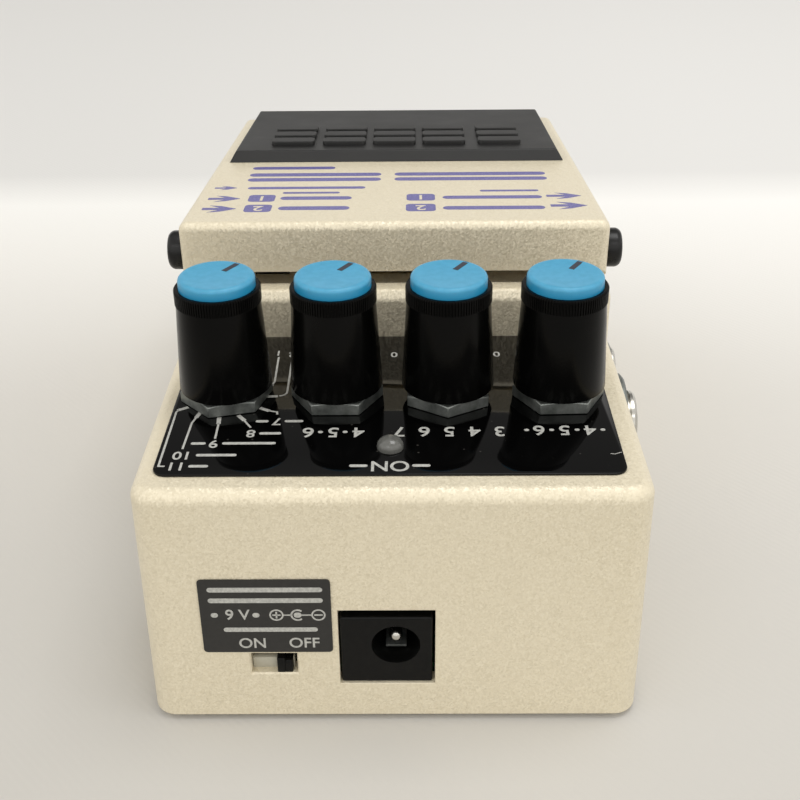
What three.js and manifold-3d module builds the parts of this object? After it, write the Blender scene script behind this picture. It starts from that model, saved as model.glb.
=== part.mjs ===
// Compact guitar effects pedal: a die-cast shell with a control panel, and a treadle hinged behind it.
// Millimetres, +Z up. X runs across the pedal, Y from the power inlet's face to the toe end.
// The model is drawn with the inlet face at Y = 0 and is centred on its length at the end.
import * as THREE from 'three';
import { mergeVertices } from 'three/addons/utils/BufferGeometryUtils.js';
import Module from 'manifold-3d';

const wasm = await Module();
wasm.setup();

// Clearances, the overrun of cuts, and the distance within which two vertices are one
const seatGap = 0.05;
const slipGap = 0.12;
const runGap = 0.3;
const overrun = 1;
const sameVertexGap = 1e-4;

// Shell
const shellWidthAtBase = 71.1;
const shellSideDraft = 0.45;
const shellLength = 126.2;
const shellWall = 2.4;
const shellCornerRadius = 3.2;
const panelRise = 38.64;
const panelFall = 1.01;
const panelDepth = 44.7;
const panelEdgeRadius = 1.8;
const rearLean = 1.67;
const stepRise = 6.87;
const stepBevelRun = 1.2;
const stepBevelRise = 1.3;
const landDepth = 2.8;
const grooveDrop = 2.0;
const grooveBevel = 2.2;
const ridgeDepth = 11.6;
const toeRise = 35.8;
const toeLean = 0.8;
const deckRise = 33.4;
const deckThickness = 2;

// Bottom: rubber sheet, steel plate and its screws
const sheetThickness = 1;
const sheetInset = 5;
const plateThickness = 1.2;
const screwInset = 6.2;
const screwEdge = 3.2;
const screwHeadRadius = 2.6;
const screwHeadDepth = 1;
const screwShankRadius = 1.4;
const screwLength = 7;
const screwBossRadius = 3.6;
const screwBossHeight = 9;
const sheetHoleRadius = 4;

// Treadle
const treadleInset = 0.5;
const treadleTaper = 1.45;
const treadleNearY = 50.2;
const treadleRise = 17.62;
const treadleSlopeFall = 7.32;
const treadleFaceHeight = 8.43;
const treadlePlate = 2.2;
const treadleNearWall = 1.6;
const treadleSkirt = 2.2;
const treadleToeWall = 2;
const treadleToeLip = 10;
const treadleCheekDrop = 1.8;
const treadleCheekRun = 2.1;
const treadleEdgeRadius = 1.6;

// Rubber pad on the treadle
const padWidth = 64;
const padStart = 38;
const padEnd = 75.2;
const padThickness = 1.9;
const padBevel = 1.2;

// Hinge of the treadle
const hingeSetback = 5;
const hingeRise = 49.6;
const hingeCapRadius = 3.2;
const hingeCapDome = 1.2;
const hingeCapProud = 2.7;
const hingePinRadius = 1.75;
const hingePinLength = 7;
const earLength = 7.4;
const earRadius = 2.9;
const earWebThickness = 2;

// Thumbscrew and its guide at the toe end
const thumbAxisRise = 41.8;
const thumbHeadRadius = 4.6;
const thumbHeadThickness = 3.4;
const thumbTravel = 2;
const thumbShaftRadius = 1.5;
const thumbHeadBore = 1.4;
const thumbHeadBevel = 0.6;
const postLength = 5;
const postWidth = 11;
const postFromWall = 2.2;
const guideWall = 1.1;
const guideDrop = 2.6;
const guideEngagement = 1.7;

// Return spring and foot switch
const springY = 97;
const springRadius = 4.5;
const springWire = 0.9;
const springTurns = 6;
const springSeatRadius = 3;
const springSeatHeight = 2;
const plungerY = 76;
const plungerRadius = 2;
const plungerCapRadius = 3.2;
const plungerCapHeight = 6;
const plungerCapLift = 2;
const pusherRadius = 2.6;
const footSwitchSize = 6;
const footSwitchHeight = 4.3;
const footSwitchDrop = 2;
const footSwitchButtonRadius = 1.75;
const footSwitchButtonHeight = 1;
const footSwitchButtonDepth = 0.4;
const footSwitchWellDepth = 1.5;
const switchBoardGap = 0.65;
const switchBoardLength = 21;
const switchBoardPostRadius = 1.8;

// Battery compartment and snap
const bayWidth = 28;
const bayLength = 54;
const bayDepth = 17.5;
const bayWall = 1.8;
const bayFromRidge = 3.5;
const snapThickness = 3;
const snapWidth = 25;
const snapHeight = 12;
const snapStudRadius = 3;
const snapStudLength = 2;

// Panel label, knobs, pots and nuts
const labelSideMargin = 7.365;
const labelDepth = 40.45;
const labelThickness = 0.35;
const labelStart = 4.15;
const labelRadius = 1.9;
const labelShift = -0.33;
const knobPitchShare = 0.23419;
const knobRowShift = -0.17;
const knobRowDepth = 25.3;
const knobBottom = 2.55;
const knobTop = 20.07;
const knobBaseRadius = 6.8;
const knobNeckRadius = 6.05;
const knobCollarRadius = 6.18;
const knobCollarHeight = 2.3;
const knobCapRadius = 5.48;
const knobCapProud = 1.63;
const knobCapBevel = 0.5;
const knobWall = 1.1;
const knobHubRadius = 4.2;
const shaftRadius = 3;
const shaftInKnob = 10;
const potNeckRadius = 3.6;
const potBodyWidth = 10.5;
const potBodyDepth = 12;
const potBodyHeight = 4;
const potWellDepth = 3;
const nutShare = 0.72384;
const nutThickness = 2.05;
const nutBevel = 0.35;
const nutTurns = [-16, 30, -1, -28];

// Indicator lamp
const lampDepth = 10.9;
const lampRadius = 1.9;
const lampProud = 1.7;
const lampFlangeRadius = 2.4;

// Power inlet
const inletX = -0.95;
const inletRise = 12.6;
const inletWidth = 13.4;
const inletHeight = 13.1;
const inletLength = 14;
const inletRecess = 0.5;
const inletHoleX = 1.25;
const inletHoleRise = 0.5;
const inletHoleRadius = 3.4;
const inletHoleDepth = 9.5;
const inletPinRadius = 1.0;
const inletPinSetback = 1.2;

// Slide switch
const slideShare = 0.24051;
const slideRise = 9.7;
const slideSlotWidth = 6.6;
const slideSlotHeight = 3.6;
const slideBodyWidth = 9;
const slideBodyLength = 5;
const slideLeverWidth = 2.4;
const slideLeverHeight = 2.7;
const slideLeverSink = 0.1;
const slideLeverOffset = 1.45;

// Label on the inlet's face
const rearLabelX = -17.75;
const rearLabelWidth = 18.2;
const rearLabelHeight = 12.7;
const rearLabelRise = 18.5;
const rearLabelThickness = 0.12;

// Jacks on both sides: the two outputs, then the two inputs and the control
const jackRadius = 4.8;
const jackBore = 3.25;
const jackProuds = [2.95, 1.85, 2.95, 2.95, 2.95];
const jackFromInlet = 0.45;
const jackFloor = 3.1;
const jackBodyWidth = 12.6;
const jackBodyHeight = 8;
const jackBodyDrop = 4.2;
const jackCollar = 1.5;
const jackNutRadii = [7.6, 5.9, 7.6, 7.6, 7.6];
const jackNutThickness = 1;
const outputJackYs = [38, 53];
const outputJackRise = 26.8;
const inputJackYs = [20.8, 36.7, 52.6];
const inputJackRise = 19.5;

// Circuit boards
const boardThickness = 1.6;
const boardInset = 4.5;
const boardStart = 4.2;
const boardPostX = 10;
const boardPostInset = 6;
const boardPostRadius = 2;
const controlBoardThickness = 1.2;
const controlBoardStart = 7;
const controlBoardDepth = 17;

// Fineness of the round parts
const coarseSides = 16;
const roundSides = 24;

// Places worked out from the sizes
const baseZ = sheetThickness;
const shellWidthAtPanel = shellWidthAtBase - 2 * shellSideDraft;
const treadleWidth = shellWidthAtPanel - 2 * treadleInset;
const knobPitch = shellWidthAtPanel * knobPitchShare;
const knobRowX = knobRowShift - (nutTurns.length - 1) / 2 * knobPitch;
const labelWidth = (nutTurns.length - 1) * knobPitch + 2 * labelSideMargin;
const nutAcrossFlats = knobPitch * nutShare;
const slideX = -shellWidthAtBase * slideShare;
const jackInnerX = inletWidth / 2 - inletX + jackFromInlet;
const inletZ = baseZ + inletRise;
const slideZ = baseZ + slideRise;
const boardTopZ = inletZ - inletHeight / 2 - seatGap;
const panelZ = baseZ + panelRise;
const stepY = rearLean + panelDepth;
const panelFarZ = panelZ - panelFall;
const stepTopZ = panelFarZ + stepRise;
const landZ = stepTopZ + stepBevelRise;
const landEndY = stepY + stepBevelRun + landDepth;
const grooveZ = landZ - grooveDrop;
const ridgeEndY = stepY + ridgeDepth;
const toeZ = baseZ + toeRise;
const toeTopY = shellLength - toeLean;
const deckZ = baseZ + deckRise;
const deckUnderZ = deckZ - deckThickness;
const panelAngle = Math.atan2(panelFall, panelDepth);
const treadleTopZ = panelZ + treadleRise;
const treadleToeY = shellLength;
const treadleSlope = treadleSlopeFall / (treadleToeY - treadleNearY);
const hingeY = treadleNearY + hingeSetback;
const hingeZ = baseZ + hingeRise;

const paint = { color: 0xe4dcc6, roughness: 0.4, metalness: 0.15 };
const blackPlastic = { color: 0x17181a, roughness: 0.3, metalness: 0 };
const matteBlack = { color: 0x1c1c1c, roughness: 0.7, metalness: 0 };
const blueCap = { color: 0x4aa5d8, roughness: 0.35, metalness: 0 };
const rubber = { color: 0x202020, roughness: 0.85, metalness: 0 };
const nickel = { color: 0xb9b9b5, roughness: 0.3, metalness: 1 };
const zinc = { color: 0x80827e, roughness: 0.5, metalness: 0.9 };
const steel = { color: 0x9a9b9c, roughness: 0.4, metalness: 1 };
const board = { color: 0x1f5a3a, roughness: 0.6, metalness: 0 };
const clear = { color: 0xd8d6cc, roughness: 0.1, metalness: 0 };
const greyInk = { color: 0x39393b, roughness: 0.6, metalness: 0 };

// The closed solid of a three.js geometry
function solid(geometry) {
  const bare = new THREE.BufferGeometry();
  bare.setAttribute('position', geometry.getAttribute('position').clone());
  if (geometry.index) bare.setIndex(geometry.index.clone());
  const merged = mergeVertices(bare, sameVertexGap);
  const index = merged.index.array;
  const triangles = [];
  for (let i = 0; i < index.length; i += 3) {
    const [a, b, c] = [index[i], index[i + 1], index[i + 2]];
    if (a !== b && b !== c && c !== a) triangles.push(a, b, c);
  }
  return new wasm.Manifold(new wasm.Mesh({
    numProp: 3,
    vertProperties: new Float32Array(merged.getAttribute('position').array),
    triVerts: new Uint32Array(triangles),
  }));
}

// A named mesh of a solid, under its parent group
function piece(name, body, look, parent) {
  const data = body.getMesh();
  const geometry = new THREE.BufferGeometry();
  geometry.setAttribute('position', new THREE.BufferAttribute(new Float32Array(data.vertProperties), 3));
  geometry.setIndex(new THREE.BufferAttribute(new Uint32Array(data.triVerts), 1));
  geometry.computeVertexNormals();
  const mesh = new THREE.Mesh(geometry, new THREE.MeshStandardMaterial(look));
  mesh.name = name;
  parent.add(mesh);
  return mesh;
}

function box(x0, x1, y0, y1, z0, z1) {
  const geometry = new THREE.BoxGeometry(x1 - x0, y1 - y0, z1 - z0);
  return solid(geometry.translate((x0 + x1) / 2, (y0 + y1) / 2, (z0 + z1) / 2));
}

// A box from its centre in plan, its full width and depth, and its lowest and highest point
function block(x, y, width, depth, z0, z1) {
  return box(x - width / 2, x + width / 2, y - depth / 2, y + depth / 2, z0, z1);
}

// A turned solid about Z: the profile is a list of [radius, height] that starts and ends on the axis
function turned(profile, sides) {
  const points = profile.map(([r, h]) => new THREE.Vector2(r, h));
  return new THREE.LatheGeometry(points, sides).rotateX(Math.PI / 2);
}

function cylinder(radius, z0, z1, sides = coarseSides) {
  return turned([[0, z0], [radius, z0], [radius, z1], [0, z1]], sides);
}

// The same, laid along X or Y, at a place
function alongX(geometry, x, y, z) {
  return solid(geometry.rotateY(Math.PI / 2).translate(x, y, z));
}

function alongY(geometry, x, y, z) {
  return solid(geometry.rotateX(-Math.PI / 2).translate(x, y, z));
}

function upright(geometry, x, y, z = 0) {
  return solid(geometry.translate(x, y, z));
}

// An outline with each corner rounded to its own radius: the points are [a, b, radius]
function outline(points) {
  const shape = new THREE.Shape();
  points.forEach(([a, b, radius = 0], i) => {
    const [pa, pb] = points[(i + points.length - 1) % points.length];
    const [na, nb] = points[(i + 1) % points.length];
    const before = new THREE.Vector2(pa - a, pb - b).setLength(radius);
    const after = new THREE.Vector2(na - a, nb - b).setLength(radius);
    if (i === 0) shape.moveTo(a + before.x, b + before.y);
    else shape.lineTo(a + before.x, b + before.y);
    if (radius > 0) shape.quadraticCurveTo(a, b, a + after.x, b + after.y);
  });
  shape.closePath();
  return shape;
}

// A side view drawn in Y and Z, drawn out along X
function sideView(points, x0, x1) {
  const geometry = new THREE.ExtrudeGeometry(outline(points), {
    depth: x1 - x0, bevelEnabled: false, curveSegments: 4,
  });
  const turn = new THREE.Matrix4().makeBasis(
    new THREE.Vector3(0, 1, 0), new THREE.Vector3(0, 0, 1), new THREE.Vector3(1, 0, 0),
  );
  return solid(geometry.applyMatrix4(turn).translate(x0, 0, 0));
}

// A plate drawn in X and Y, between two heights
function planView(points, z0, z1) {
  const geometry = new THREE.ExtrudeGeometry(outline(points), {
    depth: z1 - z0, bevelEnabled: false, curveSegments: 8,
  });
  return geometry.translate(0, 0, z0);
}

function roundedRectangle(x0, x1, y0, y1, radius) {
  return [[x0, y0, radius], [x1, y0, radius], [x1, y1, radius], [x0, y1, radius]];
}

// The shell's half width at a height: its sides lean in by the draft of the casting
function shellHalfWidth(z) {
  const draft = (shellWidthAtBase - shellWidthAtPanel) / panelRise;
  return (shellWidthAtBase - draft * (z - baseZ)) / 2;
}

// Height of the treadle's top face at a depth
function treadleTop(y) {
  return treadleTopZ - treadleSlope * (y - treadleNearY);
}

// A hexagon's outline for a nut, with flats at a distance
function hexagon(acrossFlats, z0, z1) {
  const radius = acrossFlats / Math.sqrt(3);
  return turned([[0, z0], [radius, z0], [radius, z1], [0, z1]], 6);
}

// A nut: a hexagon whose top corners are turned down to a bevel, with its bore cut through
function nut(acrossFlats, thickness, bore, z0) {
  const corner = acrossFlats / Math.sqrt(3);
  const flat = acrossFlats / 2;
  const bevelCone = solid(turned([
    [0, z0 - overrun],
    [corner + overrun, z0 - overrun],
    [corner + overrun, z0 + thickness - nutBevel - overrun * nutBevel / (corner - flat)],
    [flat, z0 + thickness],
    [0, z0 + thickness],
  ], roundSides));
  const hole = solid(cylinder(bore, z0 - overrun, z0 + thickness + overrun, roundSides));
  return solid(hexagon(acrossFlats, z0, z0 + thickness)).intersect(bevelCone).subtract(hole);
}

const pedal = new THREE.Group();

const innerHalf = shellHalfWidth(panelZ) - shellWall;

// Screw places near the four corners of the bottom
const screwPlaces = [];
for (const y of [screwInset, shellLength - screwInset]) {
  for (const side of [-1, 1]) screwPlaces.push([side * (innerHalf - runGap - screwEdge), y]);
}

const plateZ = baseZ + seatGap;
const plateTopZ = plateZ + plateThickness;
const toeInnerY = toeTopY - shellWall;

// Battery bay and the post of the thumbscrew's guide, both part of the shell
const bayY0 = ridgeEndY + bayFromRidge;
const bayY1 = bayY0 + bayLength;
const bayFloorZ = deckZ - bayDepth;
const thumbZ = baseZ + thumbAxisRise;
const postY1 = toeInnerY - postFromWall;
const postY0 = postY1 - postLength;
const guideHalf = thumbShaftRadius + runGap + guideWall;
const guideTopZ = thumbZ + thumbShaftRadius + runGap + guideWall;
const guideSlotFloorZ = thumbZ - thumbShaftRadius - guideDrop;
const guideFloorZ = guideSlotFloorZ - guideWall;

// Hinge line and the ears that carry the bushes
const treadleInnerHalf = treadleWidth / 2 - treadleSkirt;
const earOuterX = treadleInnerHalf - runGap;
const earInnerX = earOuterX - earLength;
const capInnerX = treadleWidth / 2 + seatGap;
const capOuterX = capInnerX + hingeCapProud;

// Return spring and foot switch, each in the middle between the battery bay and the treadle's skirt
const bayOuterHalf = bayWidth / 2 + bayWall;
const springX = (bayWidth / 2 + treadleInnerHalf) / 2;
const plungerX = -springX;
const switchBoardWidth = 2 * (springX - bayOuterHalf - switchBoardGap);
const footSwitchTopZ = deckUnderZ - footSwitchDrop;
const footSwitchFloorZ = footSwitchTopZ - footSwitchHeight;
const switchBoardTopZ = footSwitchFloorZ - seatGap;
const buttonTopZ = footSwitchTopZ + footSwitchButtonHeight;
const plungerCapZ = deckZ + plungerCapLift;
const plungerTopZ = plungerCapZ + plungerCapHeight;

// Places on the panel, measured down it from its rear edge and out of it
const panel = new THREE.Group();
panel.position.set(0, rearLean, panelZ);
panel.rotation.x = -panelAngle;
pedal.add(panel);
const panelUnder = -shellWall;
const knobXs = nutTurns.map((_, i) => knobRowX + i * knobPitch);

// A cutter that stands square on the panel, turned into the shell's own place
function panelCutter(geometry) {
  return solid(geometry.rotateX(-panelAngle).translate(0, rearLean, panelZ));
}

function shell() {
  const plan = planView(
    roundedRectangle(-shellWidthAtBase / 2, shellWidthAtBase / 2, 0, shellLength, shellCornerRadius),
    baseZ,
    landZ,
  );
  const place = plan.getAttribute('position');
  for (let i = 0; i < place.count; i += 1) {
    place.setX(i, place.getX(i) * shellHalfWidth(place.getZ(i)) / shellHalfWidth(baseZ));
  }
  const side = sideView([
    [0, baseZ],
    [rearLean, panelZ, panelEdgeRadius],
    [stepY, panelFarZ],
    [stepY, stepTopZ],
    [stepY + stepBevelRun, landZ],
    [landEndY, landZ],
    [landEndY + grooveBevel, grooveZ],
    [ridgeEndY, grooveZ],
    [toeTopY, toeZ, panelEdgeRadius],
    [shellLength, baseZ],
  ].reverse(), -shellWidthAtBase, shellWidthAtBase);
  const cavity = sideView([
    [shellWall, baseZ - overrun],
    [rearLean + shellWall, panelZ - shellWall],
    [stepY + shellWall, panelFarZ - shellWall],
    [stepY + shellWall, grooveZ - shellWall],
    [ridgeEndY - shellWall, grooveZ - shellWall],
    [ridgeEndY - shellWall, deckUnderZ],
    [toeInnerY, deckUnderZ],
    [shellLength - shellWall, baseZ - overrun],
  ].reverse(), -innerHalf, innerHalf);
  const treadleBay = sideView([
    [ridgeEndY, deckZ],
    [ridgeEndY, landZ + overrun],
    [toeInnerY, landZ + overrun],
    [toeInnerY, deckZ],
  ].reverse(), -innerHalf, innerHalf);
  let body = solid(plan).intersect(side).subtract(cavity).subtract(treadleBay);

  // Battery bay let into the deck
  const middleY = (bayY0 + bayY1) / 2;
  body = body
    .add(block(0, middleY, 2 * bayOuterHalf, bayLength + 2 * bayWall, bayFloorZ - bayWall, deckZ))
    .subtract(block(0, middleY, bayWidth, bayLength, bayFloorZ, deckZ + overrun));

  // Posts of the main board under the bay
  for (const y of [bayY0 + boardPostInset, bayY1 - boardPostInset]) {
    for (const side of [-1, 1]) {
      body = body.add(upright(
        cylinder(boardPostRadius, boardTopZ + seatGap, bayFloorZ - bayWall / 2), side * boardPostX, y,
      ));
    }
  }

  // Bosses of the bottom screws, with their blind bores
  for (const [x, y] of screwPlaces) {
    body = body
      .add(upright(cylinder(screwBossRadius, plateTopZ + seatGap, baseZ + screwBossHeight), x, y))
      .subtract(upright(
        cylinder(screwShankRadius + slipGap, plateTopZ - overrun, plateZ + screwLength + runGap), x, y,
      ));
  }

  // Ears for the hinge bushes, each a round bar on a web, bored from outside
  for (const side of [-1, 1]) {
    const middleX = side * (earOuterX + earInnerX) / 2;
    const webY = hingeY + earRadius - earWebThickness / 2;
    const bar = alongX(cylinder(earRadius, -earLength / 2, earLength / 2), middleX, hingeY, hingeZ);
    const boreInnerX = earOuterX - hingePinLength - runGap;
    const bore = cylinder(hingePinRadius + slipGap, boreInnerX, earOuterX + overrun);
    body = body
      .add(block(middleX, webY, earLength, earWebThickness, grooveZ - shellWall / 2, hingeZ))
      .add(bar)
      .subtract(solid(bore.rotateY(side * Math.PI / 2).translate(0, hingeY, hingeZ)));
  }

  // Post with an open slot for the thumbscrew's guide
  body = body
    .add(box(-postWidth / 2, postWidth / 2, postY0, postY1, deckZ - deckThickness / 2, guideTopZ))
    .subtract(box(
      -guideHalf - slipGap, guideHalf + slipGap, postY0 - overrun, postY1 + overrun,
      guideFloorZ - slipGap, guideTopZ + overrun,
    ));

  // Seat of the return spring, and the plunger's hole and posts of the switch board
  body = body
    .add(upright(
      cylinder(springSeatRadius, deckZ - deckThickness / 2, deckZ + springSeatHeight), springX, springY,
    ))
    .subtract(upright(
      cylinder(plungerRadius + slipGap, deckUnderZ - overrun, deckZ + overrun), plungerX, plungerY,
    ));
  for (const end of [-1, 1]) {
    const y = plungerY + end * (switchBoardLength / 2 - switchBoardPostRadius);
    body = body.add(upright(
      cylinder(switchBoardPostRadius, switchBoardTopZ + seatGap, deckZ - deckThickness / 2), plungerX, y,
    ));
  }

  // Holes of the panel: four pot necks and the lamp
  for (const x of knobXs) {
    body = body.subtract(panelCutter(
      cylinder(potNeckRadius + slipGap, panelUnder - overrun, overrun).translate(x, knobRowDepth, 0),
    ));
  }
  body = body.subtract(panelCutter(
    cylinder(lampRadius + slipGap, panelUnder - overrun, overrun).translate(labelShift, lampDepth, 0),
  ));

  // Openings of the inlet's face
  const throughRear = [-overrun, rearLean + shellWall + overrun];
  body = body
    .subtract(block(
      inletX, (throughRear[0] + throughRear[1]) / 2, inletWidth + 2 * slipGap, throughRear[1] - throughRear[0],
      inletZ - inletHeight / 2 - slipGap, inletZ + inletHeight / 2 + slipGap,
    ))
    .subtract(block(
      slideX, (throughRear[0] + throughRear[1]) / 2, slideSlotWidth, throughRear[1] - throughRear[0],
      slideZ - slideSlotHeight / 2, slideZ + slideSlotHeight / 2,
    ));

  // Holes of the jacks in both sides
  for (const [side, y, rise] of jackPlaces) {
    const hole = cylinder(jackRadius + slipGap, innerHalf - overrun, shellWidthAtBase);
    body = body.subtract(solid(hole.rotateY(side * Math.PI / 2).translate(0, y, baseZ + rise)));
  }
  return body;
}

// Side, depth and rise of each jack: the two outputs are on +X, the two inputs and the control on -X
const jackPlaces = [
  ...outputJackYs.map((y) => [1, y, outputJackRise]),
  ...inputJackYs.map((y) => [-1, y, inputJackRise]),
];
const jackNames = ['output_jack_1', 'output_jack_2', 'input_jack_1', 'input_jack_2', 'control_jack'];

piece('main_housing', shell(), paint, pedal);

// Steel bottom plate with countersunk holes, its screws, and the rubber sheet under it
let plate = box(
  -innerHalf + runGap, innerHalf - runGap, shellWall + runGap, shellLength - shellWall - runGap,
  plateZ, plateTopZ,
);
let sheet = box(
  -shellWidthAtBase / 2 + sheetInset, shellWidthAtBase / 2 - sheetInset,
  sheetInset, shellLength - sheetInset, 0, sheetThickness,
);
for (const [x, y] of screwPlaces) {
  plate = plate.subtract(upright(turned([
    [0, plateZ - overrun],
    [screwHeadRadius + slipGap, plateZ - overrun],
    [screwHeadRadius + slipGap, plateZ],
    [screwShankRadius + slipGap, plateZ + screwHeadDepth],
    [screwShankRadius + slipGap, plateTopZ + overrun],
    [0, plateTopZ + overrun],
  ], coarseSides), x, y));
  sheet = sheet.subtract(upright(cylinder(sheetHoleRadius, -overrun, sheetThickness + overrun), x, y));
}
piece('bottom_plate', plate, steel, pedal);
piece('bottom_rubber_sheet', sheet, rubber, pedal);
screwPlaces.forEach(([x, y], i) => {
  piece(`bottom_screw_${i + 1}`, upright(turned([
    [0, plateZ],
    [screwHeadRadius, plateZ],
    [screwShankRadius, plateZ + screwHeadDepth],
    [screwShankRadius, plateZ + screwLength],
    [0, plateZ + screwLength],
  ], coarseSides), x, y), steel, pedal);
});

// Treadle: a sloped plate with a near wall, two skirts and a toe lip, narrowing a little towards the toe
const treadleFaceZ = treadleTopZ - treadleFaceHeight;
const plateDrop = treadlePlate * Math.hypot(1, treadleSlope);
const springPadZ = treadleTop(springY + springRadius + springWire) - plateDrop - springWire;

function narrowed(body) {
  const share = treadleTaper / (treadleWidth / 2) / (treadleToeY - treadleNearY);
  return body.warp((vertex) => {
    vertex[0] *= 1 - share * (vertex[1] - treadleNearY);
  });
}

function treadle() {
  const lipZ = treadleTop(treadleToeY) - treadleToeLip;
  const outer = sideView([
    [treadleNearY, treadleFaceZ],
    [treadleNearY, treadleTopZ, treadleEdgeRadius],
    [treadleToeY, treadleTop(treadleToeY), treadleEdgeRadius],
    [treadleToeY, lipZ],
    [treadleNearY + treadleCheekRun, treadleFaceZ - treadleCheekDrop],
  ].reverse(), -treadleWidth / 2, treadleWidth / 2);
  const nearInnerY = treadleNearY + treadleNearWall;
  const toeInner = treadleToeY - treadleToeWall;
  const hollow = sideView([
    [nearInnerY, lipZ - overrun],
    [nearInnerY, treadleTop(nearInnerY) - plateDrop],
    [toeInner, treadleTop(toeInner) - plateDrop],
    [toeInner, lipZ - overrun],
  ].reverse(), -treadleInnerHalf, treadleInnerHalf);
  const underNearWall = box(
    -treadleInnerHalf, treadleInnerHalf, treadleNearY - overrun, nearInnerY + overrun,
    lipZ - overrun, treadleFaceZ,
  );
  const pusher = upright(
    cylinder(pusherRadius, plungerTopZ + runGap, treadleTop(plungerY) - treadlePlate / 2), plungerX, plungerY,
  );
  const springPad = upright(
    cylinder(springRadius + springWire, springPadZ, treadleTop(springY) - treadlePlate / 2), springX, springY,
  );
  const springStud = upright(
    cylinder(springSeatRadius, springPadZ - springSeatHeight, springPadZ + overrun), springX, springY,
  );
  const pinHole = alongX(cylinder(hingePinRadius + slipGap, -treadleWidth, treadleWidth), 0, hingeY, hingeZ);
  const thumbHole = alongY(
    cylinder(thumbShaftRadius + slipGap, toeInner - overrun, treadleToeY + overrun), 0, 0, thumbZ,
  );
  return narrowed(outer.subtract(hollow).subtract(underNearWall))
    .add(pusher).add(springPad).add(springStud).subtract(pinHole).subtract(thumbHole);
}

piece('treadle', treadle(), paint, pedal);

// Rubber pad on the sloped top, bevelled along its near edge
const padNearY = treadleNearY + padStart;
const padFarY = treadleNearY + padEnd;
piece('treadle_pad', narrowed(sideView([
  [padNearY, treadleTop(padNearY) + seatGap],
  [padNearY + padBevel, treadleTop(padNearY + padBevel) + padThickness],
  [padFarY, treadleTop(padFarY) + padThickness],
  [padFarY, treadleTop(padFarY) + seatGap],
].reverse(), -padWidth / 2, padWidth / 2)), rubber, pedal);

// Hinge bushes: a pin through the skirt into the ear, under a domed head
const domeSteps = 3;
for (const [side, name] of [[-1, 'hinge_bush_left'], [1, 'hinge_bush_right']]) {
  const profile = [[0, earOuterX - hingePinLength], [hingePinRadius, earOuterX - hingePinLength]];
  profile.push([hingePinRadius, capInnerX], [hingeCapRadius, capInnerX]);
  for (let i = 0; i <= domeSteps; i += 1) {
    const turn = (i / domeSteps) * Math.PI / 2;
    profile.push([
      i < domeSteps ? hingeCapRadius * Math.cos(turn) : 0,
      capOuterX - hingeCapDome + hingeCapDome * Math.sin(turn),
    ]);
  }
  const bush = turned(profile, coarseSides).rotateY(side * Math.PI / 2).translate(0, hingeY, hingeZ);
  piece(name, solid(bush), blackPlastic, pedal);
}

// Thumbscrew, drawn backed out, and its guide in the shell's post
const thumbHeadY = treadleToeY + runGap + thumbTravel;
const thumbTipY = postY1 - guideEngagement + thumbTravel;
piece('thumbscrew_head', alongY(turned([
  [0, thumbHeadY + thumbHeadBore],
  [thumbShaftRadius + slipGap, thumbHeadY + thumbHeadBore],
  [thumbShaftRadius + slipGap, thumbHeadY],
  [thumbHeadRadius, thumbHeadY],
  [thumbHeadRadius, thumbHeadY + thumbHeadThickness - thumbHeadBevel],
  [thumbHeadRadius - thumbHeadBevel, thumbHeadY + thumbHeadThickness],
  [0, thumbHeadY + thumbHeadThickness],
], roundSides), 0, 0, thumbZ), blackPlastic, pedal);
piece('thumbscrew_shaft', alongY(
  cylinder(thumbShaftRadius, thumbTipY, thumbHeadY + thumbHeadBore - seatGap), 0, 0, thumbZ,
), steel, pedal);
const slotHalf = thumbShaftRadius + runGap;
piece('guide_bush', box(
  -guideHalf, guideHalf, postY0, postY1, guideFloorZ, guideTopZ,
).subtract(box(
  -slotHalf, slotHalf, postY0 - overrun, postY1 + overrun, guideSlotFloorZ, guideTopZ - guideWall,
)), matteBlack, pedal);

// Return spring: a helix of round wire that stands on the deck
class Helix extends THREE.Curve {
  constructor(radius, height, turns) {
    super();
    this.radius = radius;
    this.height = height;
    this.turns = turns;
  }

  getPoint(t, target = new THREE.Vector3()) {
    const angle = t * this.turns * 2 * Math.PI;
    return target.set(this.radius * Math.cos(angle), this.radius * Math.sin(angle), t * this.height);
  }
}

const wireShape = new THREE.Shape();
const wireSides = 6;
for (let i = 0; i < wireSides; i += 1) {
  const turn = (i / wireSides) * 2 * Math.PI;
  const [a, b] = [springWire / 2 * Math.cos(turn), springWire / 2 * Math.sin(turn)];
  if (i === 0) wireShape.moveTo(a, b);
  else wireShape.lineTo(a, b);
}
const springZ = deckZ + runGap + springWire / 2;
const springHeight = springPadZ - runGap - springWire / 2 - springZ;
const stepsPerTurn = 10;
piece('return_spring', upright(new THREE.ExtrudeGeometry(wireShape, {
  extrudePath: new Helix(springRadius, springHeight, springTurns),
  steps: stepsPerTurn * springTurns,
}), springX, springY, springZ), steel, pedal);

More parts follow.
